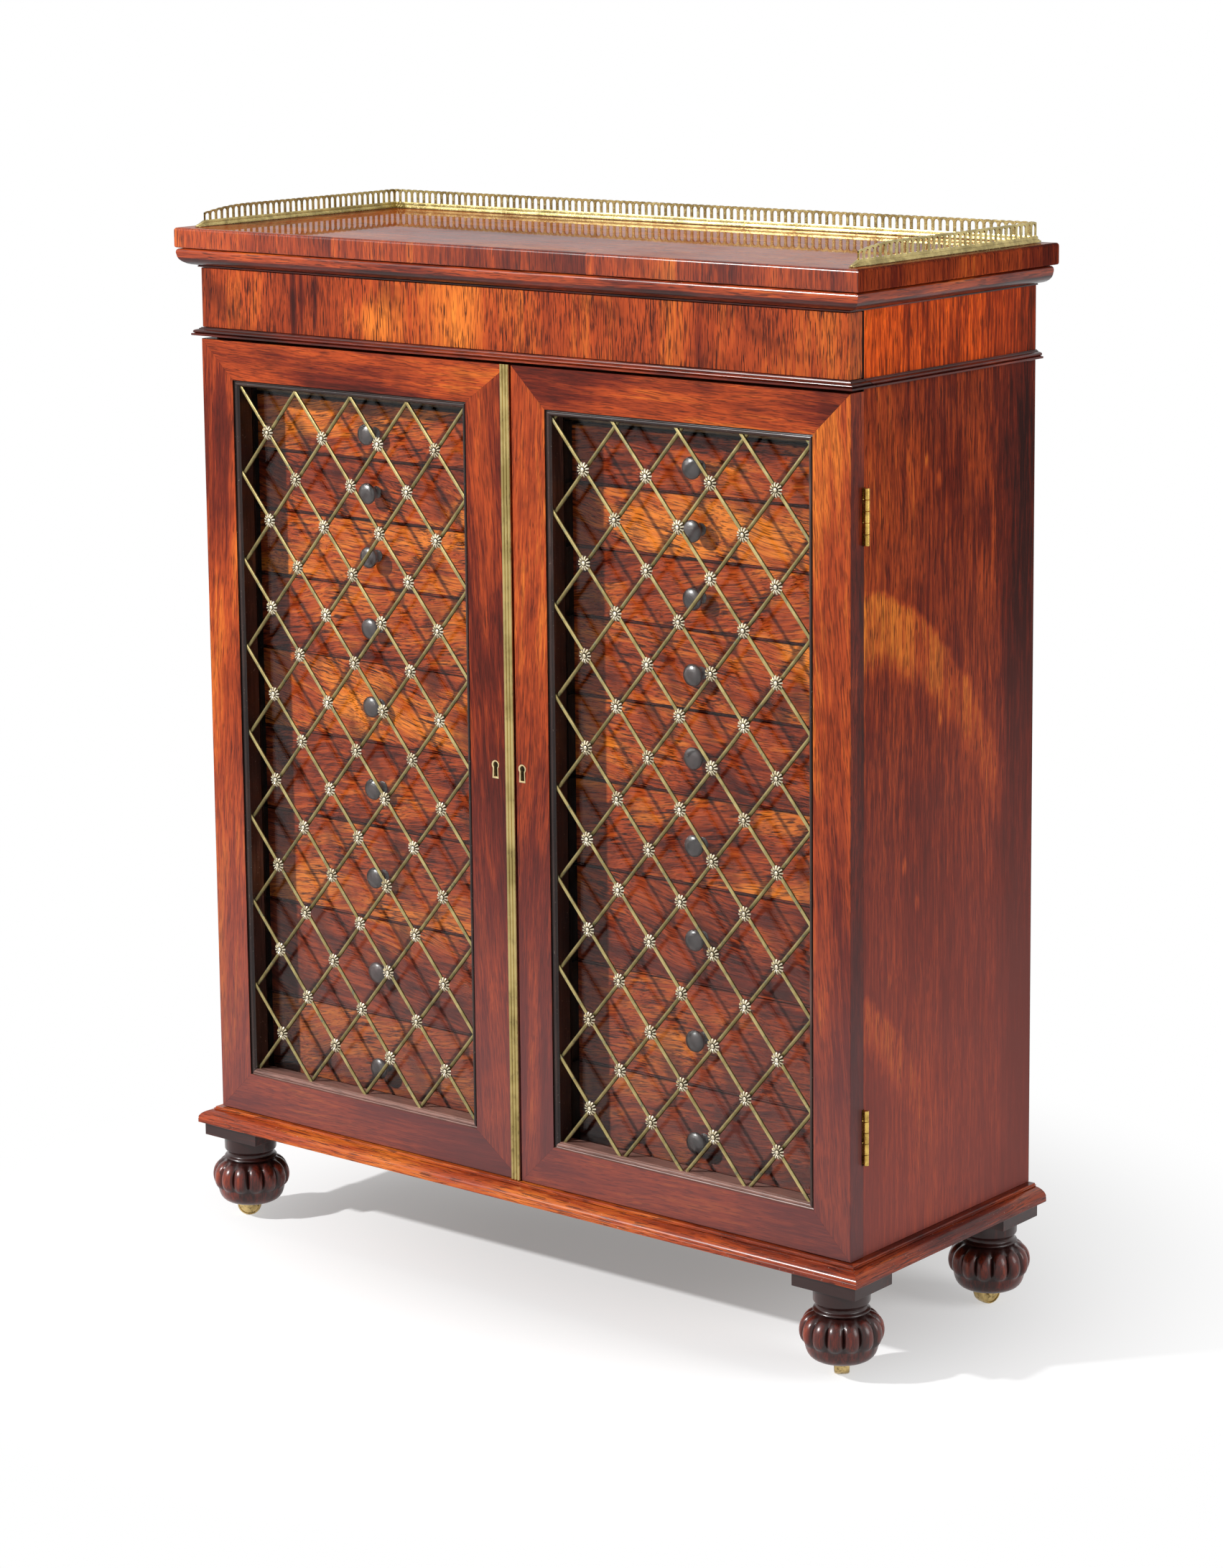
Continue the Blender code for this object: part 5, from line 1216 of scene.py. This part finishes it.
def make_rods(sign):
    x0, z0, step_x, step_z = lattice_grid(sign)
    box = door_opening(sign, SLIP - 0.0012)
    low, high = (box[0], box[2]), (box[1], box[3])
    rods = Piece()
    for slope, face in ROD_FACE.items():
        way = Vector((step_x, slope * step_z)).normalized()
        across = Vector((-way.y, way.x))
        for number in range(-ROWS - 2, ROWS + COLUMNS + 4, 2):
            start = Vector((x0, z0 + number * step_z))
            rings = [[], []]
            shortest = 9.0
            for share, rise in ROD_SECTION:
                point = start + across * share * ROD_HALF
                near, far = clipped(point, way, low, high)
                shortest = min(shortest, far - near)
                for ring, reach in zip(rings, (near, far)):
                    spot = point + way * reach
                    ring.append((spot.x, at_depth(face + rise * ROD_TALL), spot.y))
            if shortest > 0.002:
                # Painted shade on the rods: sides and back much darker, one half of each face darker than the other,
                # and the rods lying behind the other set darker all over.
                painted_rear_shade = 0.34 if slope > 0 else 0.0
                rods.add(loft(rings), tone=[0.85 if rise > 0.4 else painted_rear_shade + (0.36 if slope * share < 0 else 0.05)
                                            for share, rise in ROD_SECTION] * 2)
    name = "lattice_rods_" + SIDES[sign]
    rods.place(name, "door_" + SIDES[sign], "brass", BRASS["lattice"], "lattice_" + SIDES[sign])


def rosette_mesh():
    """A petalled disc round Y, its back at y 0 and its pin facing -Y. Petals are wide and the grooves narrow."""
    rows = ((0.0054, 0.0036, 0.0, 0.0), (0.0060, 0.0038, 0.0006, 0.0001), (0.0049, 0.0034, 0.0016, 0.0002),
            (0.0032, 0.0025, 0.0018, 0.0005), (0.0018, 0.0018, 0.0009, 0.0007), (0.0015, 0.0015, 0.0018, 0.0018),
            (0.0007, 0.0007, 0.0022, 0.0022))
    rings, grime_and_shade = [], []
    for number, (ridge, groove, high, low) in enumerate(rows):
        ring = []
        for i in range(3 * PETALS):
            angle = 2 * math.pi * (i // 3 + (0.30, 0.70, 1.0)[i % 3]) / PETALS
            radius, rise = (groove, low) if i % 3 == 2 else (ridge, high)
            ring.append((radius * math.cos(angle), -rise, radius * math.sin(angle)))
            # The grooves between petals and the hollow ring round the pin are darkened: partly grime, partly painted
            # shade.
            grime_and_shade.append(0.0 if number > 4 or number < 4 and i % 3 < 2 else 0.9)
        rings.append(ring)
    mesh = new_mesh("rosette", *loft(rings))
    mesh.attributes.new("tone", "FLOAT", "POINT").data.foreach_set("value", grime_and_shade)
    return mesh


def scatter_tree():
    tree, g, given, made = geometry_tree("rosettes on crossings", [
        ("Rosette", "Object", None), ("Seed", "Int", 1), ("Turn", "Float", 0.26), ("Material", "Material", None)])
    rosette = g.put("GeometryNodeObjectInfo", {"Object": given["Rosette"]}).outputs["Geometry"]
    random = g.put("FunctionNodeRandomValue", data_type="FLOAT")
    g.feed(random.inputs[2], 0.0)
    g.feed(random.inputs[3], given["Turn"])
    g.feed(random.inputs["Seed"], given["Seed"])
    turn = g.join(0.0, random.outputs[1], 0.0)
    placed = g.put("GeometryNodeInstanceOnPoints", {
        "Points": given["Geometry"], "Instance": rosette, "Rotation": turn}).outputs[0]
    solid = g.put("GeometryNodeRealizeInstances", {"Geometry": placed}).outputs[0]
    done = g.put("GeometryNodeSetMaterial", {"Geometry": solid, "Material": given["Material"]}).outputs[0]
    g.feed(made["Geometry"], done)
    return tree


ROSETTES = scatter_tree()


def make_rosettes(sign, rosette):
    x0, z0, step_x, step_z = lattice_grid(sign)
    crossings = [(x0 + c * step_x, at_depth(ROD_FACE[-1]), z0 + r * step_z)
                 for r in range(1, ROWS) for c in range(1, COLUMNS) if (c + r) % 2 == 0]
    start = new_mesh("crossings", crossings, [])
    name = "rosettes_" + SIDES[sign]
    mesh = grow(name, ROSETTES, start, Rosette=rosette, Seed=3 + sign, Turn=0.26, Material=BRASS["rosette"])
    place(name, mesh, "door_" + SIDES[sign], "brass", "lattice_" + SIDES[sign])
    return len(crossings)


one_rosette = loose_object("rosette", rosette_mesh())
for door_sign in SIDES:
    make_rods(door_sign)
    rosette_count = make_rosettes(door_sign, one_rosette)
bpy.data.objects.remove(one_rosette)
print("rosettes on each door:", rosette_count)

# %% [markdown]
# ## Meeting strip and hinges
#
# A reeded brass strip covers the gap between the doors. The hinges are brass butts, let in flush, so
# only the knuckles stand out at the sides.

# %% Meeting strip and hinges
STRIP_X = (-0.0051, 0.0041)
STRIP_PROUD = 0.0016


def make_strip():
    x0, x1 = STRIP_X
    reed = (x1 - x0) / 3
    outline = [(x1, -0.0001), (x0, -0.0001)]
    for i in range(3):
        for j in range(9):
            angle = math.pi * (j + 0.5) / 9
            share = 0.5 - 0.46 * math.cos(angle)
            outline.append((x0 + (i + share) * reed, -0.0003 - (STRIP_PROUD - 0.0003) * math.sin(angle) ** 0.8))
    low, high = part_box("meeting_strip")
    rings = [[(x, at_depth(depth), z) for x, depth in outline] for z in (low.z, high.z)]
    Piece().add(loft(rings)).place("reeded_strip", "door_left", "brass", BRASS["strip"], "meeting_strip")


def knuckle(x, low, high):
    radius, soft = KNUCKLE_R, 0.00025
    profile = ((radius - soft, low), (radius, low + soft), (radius, high - soft), (radius - soft, high))
    return moved(lathe(profile, 24), Matrix.Translation((x, at_depth(DOOR_THICK + 0.00015), 0.0)))


def make_hinge(sign, level):
    foot = HINGE_FEET[level]
    pitch = HINGE_TALL / 5
    xs = sorted((sign * LEAF_EDGE, sign * (PIN_X - 0.0008)))
    depths = {"door": (DOOR_THICK - LEAF_THICK, DOOR_THICK - 0.0001), "case": (DOOR_THICK + 0.0004, 0.0188)}
    for leaf, first in (("case", 0), ("door", 1)):
        piece = Piece()
        start, end = depths[leaf]
        plate_low = (xs[0] if sign > 0 else xs[0] + 0.0030, at_depth(start), foot)
        plate_high = (xs[1] - 0.0030 if sign > 0 else xs[1], at_depth(end), foot + HINGE_TALL)
        piece.add(board(plate_low, plate_high, 0.00012, 1))
        for i in range(first, 5, 2):
            low, high = foot + i * pitch + 0.00015, foot + (i + 1) * pitch - 0.00015
            piece.add(knuckle(sign * PIN_X, low, high))
            tab = sorted((sign * (PIN_X - 0.0040), sign * (PIN_X - 0.0012)))
            piece.add(board((tab[0], at_depth(start), low), (tab[1], at_depth(end), high), 0.0001, 1))
        body = "carcase" if leaf == "case" else "door_" + SIDES[sign]
        name = "{}_leaf_{}_{}".format(leaf, level, SIDES[sign])
        piece.place("hinge_" + name, body, "brass", BRASS["hinge"], name)


make_strip()
for door_sign in SIDES:
    for hinge_level in HINGE_FEET:
        make_hinge(door_sign, hinge_level)

# %% [markdown]
# ## Specimen drawers
#
# Eighteen shallow trays. Their fronts are a lively orange-brown veneer with dark flecks, each with a thin
# cock bead along its lower edge. The knobs are small turned discs, stained black.

# %% Specimen drawers
DRAWER_FACE, DRAWER_BACK, DRAWER_WALL, FRONT_THICK = 0.038, 0.236, 0.006, 0.010
BANK_X = (0.0363, 0.3077)
TONGUE_OUT, TONGUE_TALL = 0.0035, 0.0030
KNOB_X = {-1: -0.1734, 1: 0.1650}
KNOB_SHAPE = ((0.0049, -0.0004), (0.0052, 0.0006), (0.0044, 0.0014), (0.0033, 0.0026), (0.0030, 0.0046),
              (0.0034, 0.0062), (0.0052, 0.0082), (0.0078, 0.0098), (0.0088, 0.0108), (0.0090, 0.0118),
              (0.0086, 0.0128), (0.0072, 0.0138), (0.0048, 0.0146), (0.0020, 0.0149))


def drawer_looks(sign, number):
    """Grain direction, shift along the veneer and tone of one drawer, from a fixed rule."""
    tilt = 0.16 * math.sin(2.3 * number + 0.7 * sign)
    along = Vector((1, 0, tilt)).normalized()
    tone = 0.07 * math.sin(3.1 * number + sign) - (0.04 if sign < 0 else 0.0)
    return (along, Vector((0, -1, 0)).cross(along)), 0.9 * number + 5.0 * sign, tone


def make_drawer(sign, number):
    node = "drawer_{}_{}".format(SIDES[sign], number)
    low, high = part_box(node)
    x0, x1 = sorted((sign * BANK_X[0], sign * BANK_X[1]))
    grain, shift, tone = drawer_looks(sign, number)
    tone -= 0.12 if sign > 0 and low.z < 0.30 else 0.0
    bead = 0.0015
    face, rear = at_depth(DRAWER_FACE), at_depth(DRAWER_FACE + FRONT_THICK)
    front = Piece()
    front.add(board((x0, face + 0.0002, low.z + bead + 0.0003), (x1, rear, high.z), 0.0003, 1), grain, shift, tone)
    front.add(board((x0, face, low.z), (x1, rear, low.z + bead), 0.0006, 3), "X", shift + 0.4, -0.40)
    front.place("front_" + node, node, "wood_drawer", VENEER["drawer"], node)
    tray = Piece()
    start, end = rear + 0.00005, at_depth(DRAWER_BACK)
    tray.add(board((x0 - TONGUE_OUT, start, low.z), (x1 + TONGUE_OUT, end, low.z + TONGUE_TALL), 0.0002, 1), "X", shift)
    base = low.z + TONGUE_TALL
    for left, right, near, grain, shove in ((x0, x0 + DRAWER_WALL, start, "Y", 0.0),
                                            (x1 - DRAWER_WALL, x1, start, "Y", 0.5),
                                            (x0 + DRAWER_WALL, x1 - DRAWER_WALL, end - DRAWER_WALL, "X", 0.0)):
        tray.add(board((left, near, base), (right, end, high.z), 0.0004, 1), grain, shift + shove)
    tray.place("tray_" + node, node, "wood_drawer", OAK_BOX, node)
    turned = Matrix.Translation((KNOB_X[sign], face + 0.0002, (low.z + high.z) / 2))
    solid = moved(lathe(KNOB_SHAPE, 28), turned @ Matrix.Rotation(math.pi / 2, 4, "X"))
    Piece().add(solid).place("knob_" + node, node, "wood_drawer", BLACKED["knob"], node, crease=50.0)
    return high.z - low.z


heights = [make_drawer(s, n) for s in SIDES for n in range(1, 10)]

# %% [markdown]
# ## Feet
#
# Each foot is one turning under a square plate: a waisted neck, a ring, a shoulder, then a bun carved
# with fourteen upright lobes, which are called gadroons. The lobes are cut as rounded ovals that narrow to
# a point at both ends and leave plain wood above and below.

# %% Feet
FOOT_X, FOOT_DEPTHS = 0.3157, {"front": 0.0143, "back": 0.2180}
BUN_BOTTOM = 0.010
FOOT_TURNING = ((0.0155, 0.0150), (0.0155, 0.0042), (0.0159, 0.0036), (0.0167, 0.0035), (0.0190, 0.0038),
                (0.0215, 0.0045), (0.0237, 0.0057), (0.0254, 0.0073), (0.0267, 0.0092), (0.0277, 0.0116),
                (0.0284, 0.0142), (0.0287, 0.0166), (0.0287, 0.0180), (0.0288, 0.0196), (0.0289, 0.0215),
                (0.0290, 0.0235), (0.0290, 0.0255), (0.0289, 0.0275), (0.0286, 0.0295), (0.0282, 0.0315),
                (0.0276, 0.0335), (0.0267, 0.0355), (0.0256, 0.0374), (0.0243, 0.0391), (0.0229, 0.0404),
                (0.0214, 0.0413), (0.0207, 0.0418), (0.0213, 0.0422), (0.0222, 0.0428), (0.0226, 0.0436),
                (0.0222, 0.0444), (0.0212, 0.0450), (0.0203, 0.0454), (0.0200, 0.0462), (0.0202, 0.0478),
                (0.0209, 0.0492), (0.0219, 0.0502), (0.0223, 0.0512), (0.0224, 0.0560), (0.0225, 0.0620))
LOBES, LOBE_STEPS = 14, 9
LOBE_FROM, LOBE_TO, LOBE_OUT = 0.0168, 0.0416, 0.0042


def lobe_bulge(height, turn):
    """How far the carved lobes stand out at a height and at a share of a turn."""
    t = (height - LOBE_FROM) / (LOBE_TO - LOBE_FROM)
    if not 0.0 < t < 1.0:
        return 0.0
    wide = (1.0 - abs(2.0 * t - 1.0) ** 4.0) ** 0.5
    across = abs((turn * LOBES) % 1.0 - 0.5) * 2.0 / max(wide, 0.05)
    rise = math.sqrt(1.0 - abs(2.0 * t - 1.0) ** 2.4)
    return LOBE_OUT * rise * math.sqrt(max(0.0, 1.0 - across * across))


def make_foot(place_name, centre):
    sides = LOBES * LOBE_STEPS
    rings, tones = [], []
    for radius, height in FOOT_TURNING:
        ring = []
        for i in range(sides):
            angle = 2 * math.pi * i / sides
            bulge = lobe_bulge(height, i / sides) if radius > 0.02 else 0.0
            out = radius + bulge
            ring.append((centre[0] + out * math.cos(angle), centre[1] + out * math.sin(angle), BUN_BOTTOM + height))
            # Painted light and shade on the bun: each lobe's crest is lighter and the groove between lobes darker. The
            # plain bowl below is a little darker, and the neck and ring above are much darker.
            carved = LOBE_FROM < height < LOBE_TO
            tones.append(-0.34 + 0.46 * bulge / LOBE_OUT if carved else -0.04 if height < LOBE_FROM else -0.26)
        rings.append(ring)
    low, high = BUN_BOTTOM + 0.0620, 0.0831
    plate = board((centre[0] - 0.030, centre[1] - 0.0248, low + 0.0001), (centre[0] + 0.030, centre[1] + 0.0248, high),
                  0.0005, 2)
    turning = Piece().add(loft(rings), "Z", centre[0] * 3.0 + centre[1], tones)
    turning.place("bun_" + place_name, "carcase", "wood_moulding", FOOT_WOOD, "foot_" + place_name, crease=48.0)
    top = Piece().add(plate, "X", centre[0] + 2.0, -0.30)
    top.place("plate_" + place_name, "carcase", "wood_moulding", FOOT_WOOD, "foot_" + place_name)


FOOT_WOOD = polished("foot_wood", figure=24.0, lines=110.0, lift=-0.08, mix=(0.26, 0.10, 0.24), coat=0.85,
                     coat_rough=0.28, rough=0.42)

# %% [markdown]
# ## Casters
#
# A small brass wheel turns in a cast fork whose pin goes up into the foot. Only the tread and the ends of
# the cheeks show under the buns, each turned the way the cabinet was last pushed.

# %% Casters
CASTER_TURNS = {"front_left": 128.0, "front_right": 38.0, "back_left": 75.0, "back_right": 165.0}
WHEEL_R, WHEEL_Z, WHEEL_WIDE, TRAIL, CHEEK = 0.01048, 0.01049, 0.0115, 0.0020, 0.0016


def make_caster(place_name, centre):
    spin = Matrix.Translation((centre[0], centre[1], 0.0)) @ Matrix.Rotation(
        math.radians(CASTER_TURNS[place_name]), 4, "Z")
    fork = Piece()
    plate = ((0.0030, 0.0215), (0.0125, 0.0226), (0.0136, 0.0230), (0.0138, 0.0236), (0.0136, 0.0246), (0.0030, 0.0247))
    fork.add(moved(lathe(plate, 32), spin))
    fork.add(moved(lathe(((0.0029, 0.0240), (0.0030, 0.0250), (0.0030, 0.0380), (0.0026, 0.0384)), 16), spin))
    for sign in (-1, 1):
        inner = WHEEL_WIDE / 2 + 0.0003
        outline = []
        for i in range(9):
            angle = math.radians(180 + 180 * i / 8)
            outline.append((TRAIL + 0.0044 * math.cos(angle), WHEEL_Z + 0.0034 * math.sin(angle)))
        outline += [(TRAIL + 0.0045, 0.0150), (TRAIL + 0.0060, 0.0232), (TRAIL - 0.0085, 0.0232),
                    (TRAIL - 0.0045, 0.0150)]
        rings = [[(sign * (inner + out), y, z) for y, z in outline] for out in (0.0, CHEEK * 0.75)]
        rings.append([(sign * (inner + CHEEK), TRAIL + (y - TRAIL) * 0.88, WHEEL_Z + (z - WHEEL_Z) * 0.96)
                      for y, z in outline])
        fork.add(moved(loft(rings), spin))
        nut = moved(lathe(((0.0022, 0.0), (0.0022, 0.0004), (0.0012, 0.0008)), 12), Matrix.Rotation(
            sign * math.pi / 2, 4, "Y"))
        fork.add(moved(nut, spin @ Matrix.Translation((sign * (inner + CHEEK - 0.0004), TRAIL, WHEEL_Z))))
    name = "caster_" + place_name
    fork.place("fork_" + name, name, "brass", BRASS["caster"], "fork_" + place_name)
    half = WHEEL_WIDE / 2
    tread = ((0.0030, -half + 0.0006), (0.0040, -half + 0.0008), (0.0085, -half + 0.0008), (0.0089, -half),
             (0.0096, -half), (0.0101, -half + 0.0008), (WHEEL_R, -0.0028), (WHEEL_R, 0.0028),
             (0.0101, half - 0.0008), (0.0096, half), (0.0089, half), (0.0085, half - 0.0008),
             (0.0040, half - 0.0008), (0.0030, half - 0.0006))
    lay = Matrix.Translation((0.0, TRAIL, WHEEL_Z)) @ Matrix.Rotation(math.pi / 2, 4, "Y")
    wheel = Piece().add(moved(lathe(tread, 48), spin @ lay))
    wheel.place("tyre_" + place_name, "wheel_" + place_name, "brass", BRASS["caster"], "wheel_" + place_name)


for row_name, row_depth in FOOT_DEPTHS.items():
    for side_sign, side_name in SIDES.items():
        spot = (side_sign * FOOT_X, at_depth(row_depth))
        make_foot(row_name + "_" + side_name, spot)
        make_caster(row_name + "_" + side_name, spot)
print("feet:", LOBES, "lobes each,", LOBES * LOBE_STEPS * len(FOOT_TURNING), "points in one bun")

# %% [markdown]
# ## Floor, world and lamps
#
# The photograph is a studio cut-out on white with a soft shadow under the cabinet. One small lamp stands
# in front on the left and above, so the knobs and the lattice throw their shadows right and down. A
# wide, weaker one lights the side. The world is plain white where it is seen or mirrored and grey where it only lights.

# %% Floor, world and lamps
FILL = 0.16
FLOOR_NEAR, FLOOR_FAR = 0.24, 0.62


def make_world():
    world = bpy.data.worlds.new("studio")
    world.use_nodes = True
    bpy.context.scene.world = world
    g = Graph(world.node_tree)
    seen = g.seen()
    grey = g.put("ShaderNodeBackground", {"Color": (FILL, FILL, FILL, 1.0), "Strength": 1.0})
    white = g.put("ShaderNodeBackground", {"Color": (1.0, 1.0, 1.0, 1.0), "Strength": 1.0})
    both = g.put("ShaderNodeMixShader", {0: seen, 1: grey.outputs[0], 2: white.outputs[0]})
    g.finish(both, "World")


def make_floor():
    """A pale floor that keeps the shadow near the cabinet and turns plain white away from it. Where seen, its glow dims
    in an oval under the cabinet, a painted shadow.
    """
    material, g = new_material("floor")
    place = g.here()
    away = g.length(place)
    fade = g.remap(away, FLOOR_NEAR, FLOOR_FAR)
    seen = g.seen()
    # Painted shadow: where the floor is seen, its glow is dimmer in an oval under the cabinet.
    wide = g.stretch(place, (0.75, 1.3, 1.0))
    under = g.length(wide)
    under = g.remap(under, 0.05, 0.42, 0.26, 0.52)
    paint = g.blend(seen, (0.80, 0.80, 0.80), (0.55, 0.55, 0.55))
    matt = g.put("ShaderNodeBsdfDiffuse", {"Color": paint, "Roughness": 0.5})
    glow = g.put("ShaderNodeEmission", {"Color": g.blend(seen, (0.30, 0.30, 0.30), g.join(under, under, under))})
    near = g.put("ShaderNodeAddShader", {0: matt.outputs[0], 1: glow.outputs[0]})
    white = g.put("ShaderNodeEmission", {"Color": (1.0, 1.0, 1.0, 1.0)})
    both = g.put("ShaderNodeMixShader", {0: g.times(fade, seen), 1: near.outputs[0], 2: white.outputs[0]})
    g.finish(both)
    half = 6.0
    mesh = new_mesh("floor", [(-half, -half, 0), (half, -half, 0), (half, half, 0), (-half, half, 0)], [(0, 1, 2, 3)])
    mesh.materials.append(material)
    floor = loose_object("floor", mesh)


def make_lamp(name, spot, target, size, power):
    data = bpy.data.lights.new(name, "AREA")
    data.shape = "RECTANGLE"
    data.size, data.size_y = size
    data.energy = power
    lamp = loose_object(name, data)
    lamp.location = spot
    lamp.rotation_euler = (Vector(target) - Vector(spot)).to_track_quat("-Z", "Y").to_euler()


make_world()
make_floor()
make_lamp("key", (-1.51, -2.44, 2.05), (0.0, -0.118, 0.45), (0.13, 0.13), 142.0)
make_lamp("side", (2.6, 0.4, 1.3), (0.0, 0.0, 0.45), (1.2, 1.6), 34.0)
print("lamps: key and side")
